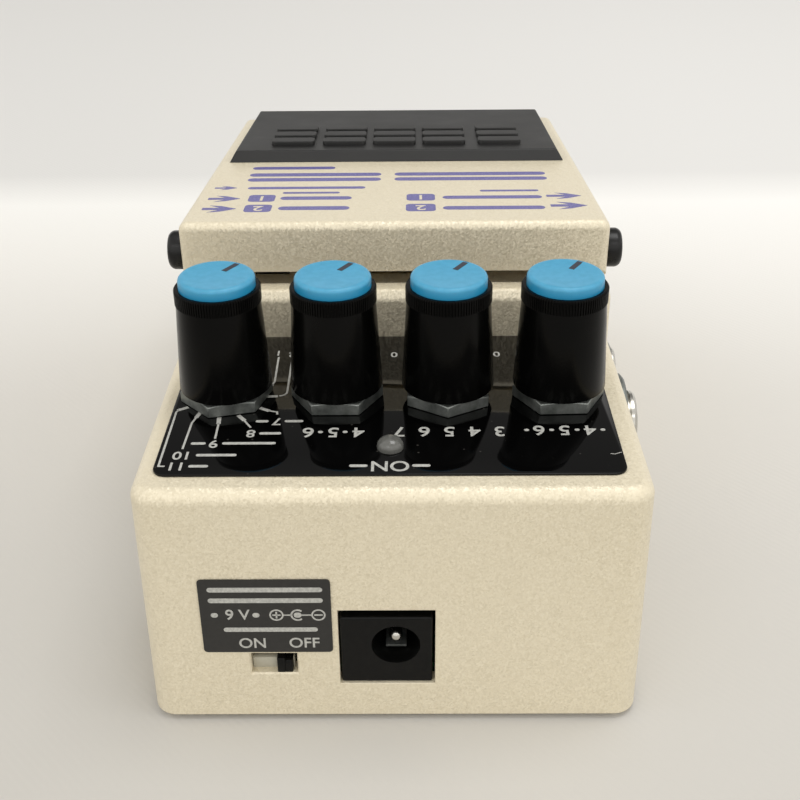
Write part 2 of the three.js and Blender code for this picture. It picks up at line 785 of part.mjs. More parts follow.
// Foot switch: a plunger through the deck, the switch under it, and the switch's small board
piece('switch_plunger', upright(turned([
  [0, buttonTopZ + seatGap],
  [plungerRadius, buttonTopZ + seatGap],
  [plungerRadius, plungerCapZ],
  [plungerCapRadius, plungerCapZ],
  [plungerCapRadius, plungerTopZ],
  [0, plungerTopZ],
], coarseSides), plungerX, plungerY), rubber, pedal);
piece('foot_switch_button', upright(
  cylinder(footSwitchButtonRadius, footSwitchTopZ - footSwitchButtonDepth, buttonTopZ), plungerX, plungerY,
), blackPlastic, pedal);
piece('foot_switch', block(
  plungerX, plungerY, footSwitchSize, footSwitchSize, footSwitchFloorZ, footSwitchTopZ,
).subtract(upright(cylinder(
  footSwitchButtonRadius + slipGap, footSwitchTopZ - footSwitchWellDepth, footSwitchTopZ + overrun,
), plungerX, plungerY)), matteBlack, pedal);
piece('switch_board', block(
  plungerX, plungerY, switchBoardWidth, switchBoardLength,
  switchBoardTopZ - controlBoardThickness, switchBoardTopZ,
), board, pedal);

// Battery snap against the bay's near wall, with the two studs of a nine volt block
const snapY = bayY0 + seatGap + snapThickness / 2;
let snap = block(0, snapY, snapWidth, snapThickness, bayFloorZ + seatGap, bayFloorZ + snapHeight);
for (const side of [-1, 1]) {
  snap = snap.add(alongY(
    cylinder(snapStudRadius, snapThickness / 2 - overrun, snapThickness / 2 + snapStudLength),
    side * snapWidth / 4, snapY, bayFloorZ + snapHeight / 2,
  ));
}
piece('battery_snap', snap, matteBlack, pedal);

// Glossy label on the panel, with holes for the pot necks and the lamp
const labelShape = outline(roundedRectangle(
  labelShift - labelWidth / 2, labelShift + labelWidth / 2, labelStart, labelStart + labelDepth, labelRadius,
));
function hole(x, y, radius) {
  const path = new THREE.Path();
  path.absarc(x, y, radius, 0, 2 * Math.PI, true);
  return path;
}
for (const x of knobXs) labelShape.holes.push(hole(x, knobRowDepth, potNeckRadius + slipGap));
labelShape.holes.push(hole(labelShift, lampDepth, lampRadius + slipGap));
piece('panel_label', upright(new THREE.ExtrudeGeometry(labelShape, {
  depth: labelThickness - seatGap, bevelEnabled: false, curveSegments: 12,
}), 0, 0, seatGap), blackPlastic, panel);

// Knobs: a hollow tapered body with a collar, the blue insert, and under them the pot, its shaft and nut
const collarTop = knobTop - knobCapProud;
const collarBottom = collarTop - knobCollarHeight;
const insertFloor = collarTop - knobWall;
const hollowTop = collarBottom - knobWall;
const shaftTop = knobBottom + shaftInKnob;
const potTop = panelUnder - slipGap;
const neckTop = labelThickness + nutThickness - seatGap;
knobXs.forEach((x, i) => {
  const place = new THREE.Group();
  place.position.set(x, knobRowDepth, 0);
  panel.add(place);
  const shaftBore = shaftRadius + slipGap;
  piece(`knob_${i + 1}`, solid(turned([
    [0, shaftTop + runGap],
    [shaftBore, shaftTop + runGap],
    [shaftBore, knobBottom + knobWall],
    [knobHubRadius, knobBottom + knobWall],
    [knobHubRadius, hollowTop],
    [knobNeckRadius - knobWall, hollowTop],
    [knobBaseRadius - knobWall, knobBottom],
    [knobBaseRadius, knobBottom],
    [knobNeckRadius, collarBottom],
    [knobCollarRadius, collarBottom],
    [knobCollarRadius, collarTop],
    [knobCapRadius + slipGap, collarTop],
    [knobCapRadius + slipGap, insertFloor],
    [0, insertFloor],
  ], roundSides)), blackPlastic, place);
  piece(`knob_cap_${i + 1}`, solid(turned([
    [0, insertFloor + seatGap],
    [knobCapRadius, insertFloor + seatGap],
    [knobCapRadius, knobTop - knobCapBevel],
    [knobCapRadius - knobCapBevel, knobTop],
    [0, knobTop],
  ], roundSides)), blueCap, place);
  const nutSolid = nut(nutAcrossFlats, nutThickness, potNeckRadius + slipGap, labelThickness + seatGap);
  piece(`pot_nut_${i + 1}`, nutSolid, zinc, place).rotation.z = nutTurns[i] * Math.PI / 180;
  const wellFloor = potTop - potWellDepth;
  piece(`pot_${i + 1}`, block(
    0, 0, potBodyWidth, potBodyDepth, potTop - potBodyHeight, potTop,
  ).add(solid(
    cylinder(potNeckRadius, potTop - overrun, neckTop),
  )).subtract(solid(
    cylinder(shaftBore, wellFloor, neckTop + overrun),
  )), steel, place);
  piece(`pot_shaft_${i + 1}`, solid(cylinder(shaftRadius, wellFloor + runGap, shaftTop)), nickel, place);
});

// The board that carries the pots and the lamp
const controlBoardTop = potTop - potBodyHeight - seatGap;
piece('control_board', block(
  0, controlBoardStart + controlBoardDepth / 2, 2 * (innerHalf - runGap), controlBoardDepth,
  controlBoardTop - controlBoardThickness, controlBoardTop,
), board, panel);

// Indicator lamp: a clear dome through the panel on a wider body that stands on the board
const lampProfile = [
  [0, controlBoardTop + seatGap],
  [lampFlangeRadius, controlBoardTop + seatGap],
  [lampFlangeRadius, panelUnder - slipGap],
  [lampRadius, panelUnder - slipGap],
];
for (let i = 0; i <= domeSteps; i += 1) {
  const turn = (i / domeSteps) * Math.PI / 2;
  lampProfile.push([
    i < domeSteps ? lampRadius * Math.cos(turn) : 0,
    labelThickness + lampProud - lampRadius + lampRadius * Math.sin(turn),
  ]);
}
piece('led', upright(turned(lampProfile, coarseSides), labelShift, lampDepth), clear, panel);

// Power inlet in the rear face: a square body with a round well and its centre pin
const inletFaceY = rearLean * inletRise / panelRise + inletRecess;
const inletHoleZ = inletZ + inletHoleRise;
piece('dc_jack', block(
  inletX, inletFaceY + inletLength / 2, inletWidth, inletLength,
  inletZ - inletHeight / 2, inletZ + inletHeight / 2,
).subtract(alongY(
  cylinder(inletHoleRadius, inletFaceY - overrun, inletFaceY + inletHoleDepth),
  inletX + inletHoleX, 0, inletHoleZ,
)), blackPlastic, pedal);
piece('dc_jack_pin', alongY(
  cylinder(inletPinRadius, inletFaceY + inletPinSetback, inletFaceY + inletHoleDepth - seatGap),
  inletX + inletHoleX, 0, inletHoleZ,
), nickel, pedal);

// Slide switch behind its slot: a body with a channel, and the lever that stands at the channel's end
const slideHalfHeight = slideZ - boardTopZ - seatGap;
const slideBodyY = rearLean * (slideRise + slideHalfHeight) / panelRise + shellWall + slipGap;
const slideChannelHeight = slideLeverHeight + 2 * runGap;
const slideChannelHalf = slideLeverOffset + slideLeverWidth / 2 + runGap;
piece('slide_switch', block(
  slideX, slideBodyY + slideBodyLength / 2, slideBodyWidth, slideBodyLength,
  slideZ - slideHalfHeight, slideZ + slideHalfHeight,
).subtract(box(
  slideX - slideChannelHalf, slideX + slideChannelHalf,
  slideBodyY - overrun, slideBodyY + slideBodyLength / 2 + runGap,
  slideZ - slideChannelHeight / 2, slideZ + slideChannelHeight / 2,
)), steel, pedal);
piece('slide_switch_lever', box(
  slideX + slideLeverOffset - slideLeverWidth / 2, slideX + slideLeverOffset + slideLeverWidth / 2,
  rearLean * slideRise / panelRise + slideLeverSink, slideBodyY + slideBodyLength / 2,
  slideZ - slideLeverHeight / 2, slideZ + slideLeverHeight / 2,
), matteBlack, pedal);

// Label beside the inlet, lying on the leaning rear face
const rearFace = new THREE.Group();
rearFace.position.set(0, 0, baseZ);
rearFace.rotation.x = -Math.atan2(rearLean, panelRise);
pedal.add(rearFace);
piece('rear_label', box(
  rearLabelX - rearLabelWidth / 2, rearLabelX + rearLabelWidth / 2,
  -seatGap - rearLabelThickness, -seatGap,
  rearLabelRise - rearLabelHeight / 2, rearLabelRise + rearLabelHeight / 2,
), greyInk, rearFace);

// Jacks: a threaded barrel through the side wall on a box with the blind socket, held by a ring nut
jackPlaces.forEach(([side, y, rise], i) => {
  const place = new THREE.Group();
  place.position.set(0, y, baseZ + rise);
  place.rotation.z = side > 0 ? 0 : Math.PI;
  pedal.add(place);
  const bodyX1 = innerHalf - runGap;
  const jackReach = shellWidthAtBase / 2 + jackProuds[i];
  const barrel = alongX(cylinder(jackRadius, bodyX1 - jackCollar, jackReach, roundSides), 0, 0, 0);
  const socket = alongX(cylinder(jackBore, jackInnerX + jackFloor, jackReach + overrun, roundSides), 0, 0, 0);
  const throat = box(
    jackInnerX, bodyX1, -jackBodyWidth / 2, jackBodyWidth / 2, -jackBodyDrop, jackBodyHeight - jackBodyDrop,
  );
  piece(jackNames[i], throat.add(barrel).subtract(socket), matteBlack, place);
  const nutX = shellHalfWidth(baseZ + rise - jackNutRadii[i]) + runGap;
  piece(`${jackNames[i]}_nut`, alongX(
    cylinder(jackNutRadii[i], nutX, nutX + jackNutThickness, roundSides), 0, 0, 0,
  ).subtract(alongX(
    cylinder(jackRadius + slipGap, nutX - overrun, nutX + jackNutThickness + overrun, roundSides), 0, 0, 0,
  )), nickel, place);
});

// Main board under the inlet and the posts of the bay, clear of the bosses near its corners
const boardHalf = innerHalf - boardInset;
const boardNotch = screwInset + screwBossRadius + runGap;
let mainBoard = box(
  -boardHalf, boardHalf, boardStart, shellLength - boardNotch, boardTopZ - boardThickness, boardTopZ,
);
for (const side of [-1, 1]) {
  mainBoard = mainBoard.subtract(block(
    side * (innerHalf - boardNotch / 2), boardNotch / 2, boardNotch, boardNotch,
    boardTopZ - boardThickness - overrun, boardTopZ + overrun,
  ));
}
piece('main_board', mainBoard, board, pedal);

// The origin goes under the middle of the whole length, thumbscrew included
pedal.position.y = -(thumbHeadY + thumbHeadThickness) / 2;

export default pedal;
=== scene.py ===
import math

import bmesh
import bpy
from mathutils import Matrix, Vector


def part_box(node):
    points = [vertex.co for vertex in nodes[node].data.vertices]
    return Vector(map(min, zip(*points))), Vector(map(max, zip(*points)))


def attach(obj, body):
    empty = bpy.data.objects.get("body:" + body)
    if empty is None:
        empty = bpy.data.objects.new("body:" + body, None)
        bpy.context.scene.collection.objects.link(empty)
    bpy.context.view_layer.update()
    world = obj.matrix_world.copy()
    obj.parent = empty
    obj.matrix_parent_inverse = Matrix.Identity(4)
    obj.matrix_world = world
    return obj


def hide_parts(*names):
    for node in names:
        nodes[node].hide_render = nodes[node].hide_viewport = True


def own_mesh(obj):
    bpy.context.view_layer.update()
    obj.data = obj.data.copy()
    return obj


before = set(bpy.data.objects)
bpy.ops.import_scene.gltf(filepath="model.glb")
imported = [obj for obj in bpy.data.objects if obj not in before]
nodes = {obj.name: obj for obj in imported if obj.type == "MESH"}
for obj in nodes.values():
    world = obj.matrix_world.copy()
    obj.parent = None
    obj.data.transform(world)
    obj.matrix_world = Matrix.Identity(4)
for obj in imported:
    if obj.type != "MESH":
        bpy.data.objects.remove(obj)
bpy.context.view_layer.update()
scene = bpy.context.scene
scene.view_settings.view_transform = "Standard"

# The camera looks down on the side with the power inlet, from a little right of the pedal's
# middle, at the angles that the photograph gives.
CAMERA_PLACE = (0.002683, -0.18677, 0.12917)
CAMERA_YAW = math.radians(-0.6727)
CAMERA_PITCH = math.radians(-31.5146)
CAMERA_ROLL = math.radians(-0.6272)
forward = Vector((
    math.sin(CAMERA_YAW) * math.cos(CAMERA_PITCH),
    math.cos(CAMERA_YAW) * math.cos(CAMERA_PITCH),
    math.sin(CAMERA_PITCH),
))
level_right = Vector((math.cos(CAMERA_YAW), -math.sin(CAMERA_YAW), 0))
level_up = level_right.cross(forward)
right = level_right * math.cos(CAMERA_ROLL) + level_up * math.sin(CAMERA_ROLL)
up = level_up * math.cos(CAMERA_ROLL) - level_right * math.sin(CAMERA_ROLL)
camera_data = bpy.data.cameras.new("camera")
camera_data.sensor_width = 36
camera_data.lens = 52.098
camera_data.clip_start = 0.005
camera = bpy.data.objects.new("camera", camera_data)
scene.collection.objects.link(camera)
camera.matrix_world = Matrix.Translation(CAMERA_PLACE) @ Matrix((right, up, -forward)).transposed().to_4x4()
scene.camera = camera


# Shell: an aluminium die casting with rounded edges, open below, with the panel, the step behind
# it, the deck under the treadle and the battery bay in one piece. Its sides lean in for the mould.
# Lengths are in millimetres, in the part's frame, and a finished mesh is brought to metres.
MILLIMETRE = 0.001
REAR_Y = -65.95
REAR_TOP_Y = -64.28
PANEL_Z = 39.64
STEP_Y = -19.58
STEP_FOOT_Z = 38.61
BEVEL_FOOT_Z = 45.46
RIDGE_Z = 46.78
DECK_NEAR_Z = 44.78
DECK_FAR_Z = 36.78
TOE_Y = 60.25
BASE_Z = 1.0
CUT_FOOT_Z = 0.5
HALF_WIDTH_AT_BASE = 35.55
SIDE_DRAFT = 0.01165
CORNER_RADIUS = 3.5
RIM_RADIUS = 1.95
RIDGE_EDGE_RADIUS = 0.45
PAINT_INSET = 0.02
INLET_OPENING = (-7.77, 5.87, 6.93, 20.27)
INLET_CHAMFER = 0.1
SLIDER_OPENING = (-20.4, -13.8, 8.9, 12.5)
SLIDER_CHAMFER = 0.25


def colour(hex_value):
    channels = [(hex_value >> shift & 255) / 255 for shift in (16, 8, 0)]
    return tuple(c / 12.92 if c <= 0.04045 else ((c + 0.055) / 1.055) ** 2.4 for c in channels) + (1.0,)


def add(tree, kind, inputs=None, **settings):
    made = tree.nodes.new(kind)
    for name, value in settings.items():
        setattr(made, name, value)
    for name, value in (inputs or {}).items():
        if isinstance(value, bpy.types.NodeSocket):
            tree.links.new(value, made.inputs[name])
        else:
            made.inputs[name].default_value = value
    return made


def start_material(name, **plain):
    material = bpy.data.materials.new(name)
    material.use_nodes = True
    tree = material.node_tree
    shader = tree.nodes["Principled BSDF"]
    for socket, value in plain.items():
        shader.inputs[socket.replace("_", " ")].default_value = value
    place = add(tree, "ShaderNodeTexCoord").outputs["Object"]
    return material, tree, shader, place


def per_metre(millimetres):
    """The scale of a pattern whose grain is this wide."""
    return 1000 / millimetres


def shine(tree, shader, pattern, smooth, rough, low=0.0, high=1.0):
    """Takes the roughness from smooth to rough where a pattern goes from low to high."""
    spread = add(tree, "ShaderNodeMapRange", {
        "Value": pattern, "From Min": low, "From Max": high, "To Min": smooth, "To Max": rough,
    })
    tree.links.new(spread.outputs[0], shader.inputs["Roughness"])


def edges_that(bm, test):
    bm.normal_update()
    return [edge for edge in bm.edges if len(edge.link_faces) == 2 and test(edge)]


def drawn_along_x(profile, half_width):
    """A solid with this outline of depths and heights, as wide as told on both sides of the middle."""
    bm = bmesh.new()
    face = bm.faces.new([bm.verts.new((-half_width, y, z)) for y, z in profile])
    drawn = bmesh.ops.extrude_face_region(bm, geom=[face])["geom"]
    far = [part for part in drawn if isinstance(part, bmesh.types.BMVert)]
    bmesh.ops.translate(bm, vec=(2 * half_width, 0, 0), verts=far)
    bmesh.ops.recalc_face_normals(bm, faces=bm.faces)
    return bm


def round_edges(bm, edges, offset, segments):
    bmesh.ops.bevel(
        bm, geom=edges, offset=offset, segments=segments, profile=0.5, affect="EDGES", material=-1,
    )


def to_object(name, bm, material, smooth_angle=32):
    """Makes a piece in metres from its bmesh, shaded smooth where faces meet under this angle."""
    bmesh.ops.remove_doubles(bm, verts=bm.verts, dist=0.0002)
    bmesh.ops.scale(bm, vec=(MILLIMETRE,) * 3, verts=bm.verts)
    mesh = bpy.data.meshes.new(name)
    for face in bm.faces:
        face.smooth = True
    for edge in bm.edges:
        edge.smooth = edge.is_manifold and edge.calc_face_angle() < math.radians(smooth_angle)
    bm.to_mesh(mesh)
    bm.free()
    mesh.materials.append(material)
    made = bpy.data.objects.new(name, mesh)
    scene.collection.objects.link(made)
    return made


def cad_copy(node):
    """The part's own solid in millimetres, with its loose triangles joined."""
    bm = bmesh.new()
    bm.from_mesh(nodes[node].data)
    bmesh.ops.scale(bm, vec=(1 / MILLIMETRE,) * 3, verts=bm.verts)
    bmesh.ops.remove_doubles(bm, verts=bm.verts, dist=0.001)
    return bm


def combined(first, second, operation):
    """The boolean of two closed bmeshes, in millimetres, as a new bmesh."""
    holders = []
    for bm in (first, second):
        mesh = bpy.data.meshes.new("part")
        bm.to_mesh(mesh)
        bm.free()
        holders.append(bpy.data.objects.new("part", mesh))
        scene.collection.objects.link(holders[-1])
    cut = holders[0].modifiers.new("cut", "BOOLEAN")
    cut.object = holders[1]
    cut.operation = operation
    cut.solver = "EXACT"
    bpy.context.view_layer.update()
    result = bmesh.new()
    result.from_object(holders[0], bpy.context.evaluated_depsgraph_get())
    for holder in holders:
        mesh = holder.data
        bpy.data.objects.remove(holder)
        bpy.data.meshes.remove(mesh)
    return result


def weight_normals(made):
    weigh = made.modifiers.new("even_normals", "WEIGHTED_NORMAL")
    weigh.keep_sharp = True
    weigh.weight = 90


def shell_half_width(z):
    return HALF_WIDTH_AT_BASE - SIDE_DRAFT * (z - BASE_Z)


def shell_outside():
    """The casting's outside as a full block with round edges, a hair inside the solid's faces."""
    bm = drawn_along_x([
        (REAR_Y + PAINT_INSET, CUT_FOOT_Z),
        (REAR_TOP_Y + PAINT_INSET, PANEL_Z - PAINT_INSET),
        (STEP_Y + PAINT_INSET, STEP_FOOT_Z),
        (STEP_Y + PAINT_INSET, BEVEL_FOOT_Z),
        (-18.36, RIDGE_Z),
        (-15.6, RIDGE_Z),
        (-13.4, DECK_NEAR_Z),
        (-7.98, DECK_NEAR_Z),
        (59.43, DECK_FAR_Z),
        (TOE_Y - PAINT_INSET, CUT_FOOT_Z),
    ], HALF_WIDTH_AT_BASE)
    for vertex in bm.verts:
        vertex.co.x = math.copysign(shell_half_width(vertex.co.z) - PAINT_INSET, vertex.co.x)
    corners = edges_that(bm, lambda e: abs(e.verts[0].co.z - e.verts[1].co.z) > 15)
    round_edges(bm, corners, CORNER_RADIUS, 10)
    rim = edges_that(bm, lambda e: e.calc_face_angle_signed() > 1.1 and min(v.co.z for v in e.verts) > 2)
    round_edges(bm, rim, RIM_RADIUS, 8)
    ridge_edges = edges_that(bm, lambda e: (
        0.45 < e.calc_face_angle_signed() < 1.1
        and -22 < e.verts[0].co.y < -12
        and min(v.co.z for v in e.verts) > 42
    ))
    round_edges(bm, ridge_edges, RIDGE_EDGE_RADIUS, 3)
    return bm


def flared_cut(opening, chamfer):
    """A cutter that chamfers an opening of the leaning rear face at 45 degrees."""
    x0, x1, z0, z1 = opening
    lean = (REAR_TOP_Y - REAR_Y) / (PANEL_Z - BASE_Z)
    spread_in_front, spread_behind = 0.9, -0.05
    bm = bmesh.new()
    bmesh.ops.create_cube(bm, size=1)
    for vertex in bm.verts:
        spread = spread_in_front if vertex.co.y < 0 else spread_behind
        vertex.co.x = x0 - spread if vertex.co.x < 0 else x1 + spread
        vertex.co.z = z0 - spread if vertex.co.z < 0 else z1 + spread
        vertex.co.y = REAR_Y + lean * (vertex.co.z - BASE_Z) + chamfer - spread
    bmesh.ops.recalc_face_normals(bm, faces=bm.faces)
    return bm


# Paint: baked pearl enamel on the casting, warm cream under a clear top layer that carries the soft
# reflections. Its flakes break the shine into fine grain. Real ones are some 0.05 mm across, and
# they are drawn 0.24 mm across, so that they show.
paint, tree, shader, place = start_material(
    "pearl_cream_enamel", Metallic=0.15, Coat_Weight=0.2, Coat_Roughness=0.28, IOR=1.45,
)
flakes = add(tree, "ShaderNodeTexVoronoi", {"Vector": place, "Scale": per_metre(0.2381)})
flake_tone = add(tree, "ShaderNodeSeparateColor", {"Color": flakes.outputs["Color"]})
cloud = add(tree, "ShaderNodeTexNoise", {"Vector": place, "Scale": per_metre(26.3), "Detail": 3.0})
grain = add(tree, "ShaderNodeMix", {
    0: flake_tone.outputs[0], 6: colour(0xDDD2B7), 7: colour(0xE7DDC4),
}, data_type="RGBA")
cloud_share = add(tree, "ShaderNodeMapRange", {
    "Value": cloud.outputs["Fac"], "From Min": 0.35, "From Max": 0.65, "To Max": 0.35,
})
toned = add(tree, "ShaderNodeMix", {
    0: cloud_share.outputs[0], 6: grain.outputs[2], 7: colour(0xE6DCC3),
}, data_type="RGBA")
tree.links.new(toned.outputs[2], shader.inputs["Base Color"])
shine(tree, shader, flake_tone.outputs[1], 0.32, 0.52)
peel = add(tree, "ShaderNodeTexNoise", {"Vector": place, "Scale": per_metre(1.111), "Detail": 2.0})
peel_bump = add(tree, "ShaderNodeBump", {"Height": peel.outputs["Fac"], "Strength": 0.2, "Distance": 0.00003})
flake_lean = add(tree, "ShaderNodeVectorMath", {
    0: flakes.outputs["Color"], 1: (-0.5, -0.5, -0.5),
}, operation="ADD")
flake_share_of_normal = add(tree, "ShaderNodeVectorMath", {
    0: flake_lean.outputs[0], 1: (0.4, 0.4, 0.4), 2: peel_bump.outputs[0],
}, operation="MULTIPLY_ADD")
flake_normal = add(tree, "ShaderNodeVectorMath", {0: flake_share_of_normal.outputs[0]}, operation="NORMALIZE")
tree.links.new(flake_normal.outputs[0], shader.inputs["Normal"])

body = combined(cad_copy("main_housing"), shell_outside(), "INTERSECT")
body = combined(body, flared_cut(INLET_OPENING, INLET_CHAMFER), "DIFFERENCE")
body = combined(body, flared_cut(SLIDER_OPENING, SLIDER_CHAMFER), "DIFFERENCE")
shell = to_object("shell_casting", body, paint)
weight_normals(shell)
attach(shell, "housing")
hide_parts("main_housing")


# Treadle: a second casting in the same paint, a sloped plate with a near wall and two skirts.
# It narrows a little towards the toe and turns on the bushes at its sides.
TREADLE_NEAR_Y = -15.75
TREADLE_TOP_Z = 57.26
TREADLE_LENGTH = 76
TREADLE_SLOPE = 7.32 / TREADLE_LENGTH
TREADLE_HALF_WIDTH = 34.6
TREADLE_TAPER = 1.45
TREADLE_EDGE_RADIUS = 1.5
BELOW_SKIRTS_Z = 30


def treadle_top(y):
    return TREADLE_TOP_Z - TREADLE_SLOPE * (y - TREADLE_NEAR_Y)


def treadle_share(y):
    """The treadle's width at a depth, as a share of its width at the near end."""
    return 1 - TREADLE_TAPER / TREADLE_HALF_WIDTH / TREADLE_LENGTH * (y - TREADLE_NEAR_Y)


bm = drawn_along_x([
    (TREADLE_NEAR_Y + PAINT_INSET, BELOW_SKIRTS_Z),
    (TREADLE_NEAR_Y + PAINT_INSET, TREADLE_TOP_Z - PAINT_INSET),
    (TOE_Y - PAINT_INSET, treadle_top(TOE_Y) - PAINT_INSET),
    (TOE_Y - PAINT_INSET, BELOW_SKIRTS_Z),
], TREADLE_HALF_WIDTH - PAINT_INSET)
for vertex in bm.verts:
    vertex.co.x *= treadle_share(vertex.co.y)
corners = edges_that(bm, lambda e: e.calc_face_angle_signed() > 1.1 and max(v.co.z for v in e.verts) > 40)
round_edges(bm, corners, TREADLE_EDGE_RADIUS, 6)
body = combined(cad_copy("treadle"), bm, "INTERSECT")
treadle = to_object("treadle_casting", body, paint)
weight_normals(treadle)
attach(treadle, "treadle_cover")
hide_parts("treadle")


# Print on the treadle: one pass of violet-blue screen ink over the paint, plain arrows that show
# where the jacks are, rounded number badges, and stripes. The ink is thin, and the fine dots that
# the screen leaves make it a little uneven.
INK_HEIGHT = 0.03


def tint(tree, shader, pattern, dark, pale, low=0.0, high=1.0):
    """Takes the colour from a dark to a pale tone where a pattern goes from low to high."""
    share = add(tree, "ShaderNodeMapRange", {"Value": pattern, "From Min": low, "From Max": high})
    tone = add(tree, "ShaderNodeMix", {
        0: share.outputs[0], 6: colour(dark), 7: colour(pale),
    }, data_type="RGBA")
    tree.links.new(tone.outputs[2], shader.inputs["Base Color"])


ink, tree, shader, place = start_material(
    "violet_screen_ink", Roughness=0.45, Coat_Weight=0.2, Coat_Roughness=0.3,
)
mesh_dots = add(tree, "ShaderNodeTexNoise", {"Vector": place, "Scale": per_metre(0.2857), "Detail": 2.0})
tint(tree, shader, mesh_dots.outputs["Fac"], 0x4E4A8C, 0x726EA8, 0.35, 0.7)


def add_flat(bm, points, thickness):
    """Adds a thin plate with this outline, lying on the plane z = 0."""
    face = bm.faces.new([bm.verts.new((x, y, 0)) for x, y in points])
    drawn = bmesh.ops.extrude_face_region(bm, geom=[face])["geom"]
    top = [part for part in drawn if isinstance(part, bmesh.types.BMVert)]
    bmesh.ops.translate(bm, vec=(0, 0, thickness), verts=top)


def rounded(x0, x1, y0, y1, radius, steps=5):
    points = []
    for cx, cy, start in (
        (x1 - radius, y1 - radius, 0), (x0 + radius, y1 - radius, 90),
        (x0 + radius, y0 + radius, 180), (x1 - radius, y0 + radius, 270),
    ):
        for i in range(steps + 1):
            turn = math.radians(start + 90 * i / steps)
            points.append((cx + radius * math.cos(turn), cy + radius * math.sin(turn)))
    return points


def add_digits(bm, text, x, y, height, thickness, turned_round=True):
    """Adds plain figures centred at a place, turned to be read from the toe unless told otherwise."""
    curve = bpy.data.curves.new("number", "FONT")
    curve.body = text
    curve.size = height * 1.42
    curve.align_x = "CENTER"
    curve.align_y = "CENTER"
    curve.offset = height * 0.018
    curve.extrude = thickness / 2
    holder = bpy.data.objects.new("number", curve)
    scene.collection.objects.link(holder)
    bpy.context.view_layer.update()
    mesh = bpy.data.meshes.new_from_object(holder.evaluated_get(bpy.context.evaluated_depsgraph_get()))
    turn = Matrix.Rotation(math.pi if turned_round else 0, 4, "Z")
    mesh.transform(Matrix.Translation((x, y, thickness / 2)) @ turn)
    bm.from_mesh(mesh)
    bpy.data.objects.remove(holder)
    bpy.data.curves.remove(curve)
    bpy.data.meshes.remove(mesh)


def arrow(x0, x1, y, half, shaft):
    """An arrow that points along +X, with barbs that sweep back."""
    head = x1 - half * 1.9
    return [
        (x0, y - shaft), (head + half * 0.45, y - shaft), (head - half * 0.5, y - half),
        (head + half * 0.55, y - half * 0.8), (x1, y), (head + half * 0.55, y + half * 0.8),
        (head - half * 0.5, y + half), (head + half * 0.45, y + shaft), (x0, y + shaft),
    ]


def add_band(bm, x0, x1, y0, y1, thickness):
    add_flat(bm, rounded(x0, x1, y0, y1, min(x1 - x0, y1 - y0) * 0.49), thickness)


def put(bm, matrix):
    bmesh.ops.transform(bm, matrix=matrix, verts=bm.verts)


def onto_treadle(bm, lift):
    """Lays a flat drawing on the treadle's top."""
    tilt = Matrix.Rotation(-math.atan(TREADLE_SLOPE), 4, "X")
    stretch = Matrix.Diagonal((1, math.hypot(1, TREADLE_SLOPE), 1, 1))
    start = Matrix.Translation((0, TREADLE_NEAR_Y, TREADLE_TOP_Z + lift))
    back = Matrix.Translation((0, -TREADLE_NEAR_Y, 0))
    put(bm, start @ tilt @ stretch @ back)


prints = bmesh.new()
for x0, x1, y, half in (
    (-31.75, -26.1, -7.6, 1.75), (-31.65, -26.2, -1.7, 1.6), (-31.5, -27.6, 4.9, 1.05),
    (25.8, 31.9, -6.9, 1.85), (25.7, 31.6, -1.2, 1.65),
):
    add_flat(prints, arrow(x0, x1, y, half * 1.1, half * 0.34), INK_HEIGHT)
for x0, x1, y0, y1 in (
    (-24.8, -20.3, -9.5, -5.4), (-24.8, -20.3, -3.6, 0.4), (1.9, 6.8, -9.6, -5.5), (2.0, 6.8, -3.5, 0.4),
):
    add_flat(prints, rounded(x0, x1, y0, y1, 0.8), INK_HEIGHT)
for x0, x1, y0, y1 in (
    (-19.2, -7.4, -8.5, -6.5), (-19.4, -7.3, -2.6, -0.7), (-19.3, -9.5, 1.1, 2.1),
    (-25.7, -5.2, 4.0, 5.4), (8.0, 24.8, -8.8, -6.9), (8.1, 24.9, -2.6, -0.8),
    (14.6, 24.7, 1.7, 2.7), (-26.4, -2.6, 9.0, 11.1), (-0.2, 27.0, 9.0, 11.1),
    (-26.4, -2.6, 12.3, 14.4), (-0.2, 27.0, 12.3, 14.4), (-26.4, -11.2, 17.1, 18.9),
):
    add_band(prints, x0, x1, y0, y1, INK_HEIGHT)
onto_treadle(prints, -PAINT_INSET)
treadle_print = to_object("treadle_print", prints, ink)
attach(treadle_print, "treadle_cover")

# The badges' numbers: the paint shows through the ink in the shape of plain figures.
numbers = bmesh.new()
for text, x, y in (("2", -22.55, -7.45), ("1", -22.55, -1.6), ("2", 4.35, -7.55), ("1", 4.4, -1.55)):
    add_digits(numbers, text, x, y, 2.6, INK_HEIGHT * 2)
onto_treadle(numbers, -PAINT_INSET)
badge_numbers = to_object("badge_numbers", numbers, paint)
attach(badge_numbers, "treadle_cover")


# Pad: moulded black rubber, glued into its place on the treadle. Its rim is bevelled, and fifteen
# low blocks in three rows give the sole a grip. Dust and wear leave it unevenly dull.
PAD_NEAR_Y = 22.25
PAD_FAR_Y = 59.45
PAD_HALF_WIDTH = 32
PAD_THICKNESS = 1.9
PAD_BEVEL = 1.15
BLOCK_LENGTH = 8.2
BLOCK_HEIGHT = 0.75
BLOCK_CORNER = 0.9
BLOCK_EDGE = 0.22


def relief(tree, shader, pattern, strength, height):
    """Bumps the surface by a pattern. The height is in metres."""
    bump = add(tree, "ShaderNodeBump", {"Height": pattern, "Strength": strength, "Distance": height})
    tree.links.new(bump.outputs[0], shader.inputs["Normal"])


def block_between(x_ends, y_ends, z_ends):
    """A plain block between two places along each axis."""
    bm = bmesh.new()
    bmesh.ops.create_cube(bm, size=1)
    for vertex in bm.verts:
        vertex.co = [ends[at > 0] for at, ends in zip(vertex.co, (x_ends, y_ends, z_ends))]
    return bm


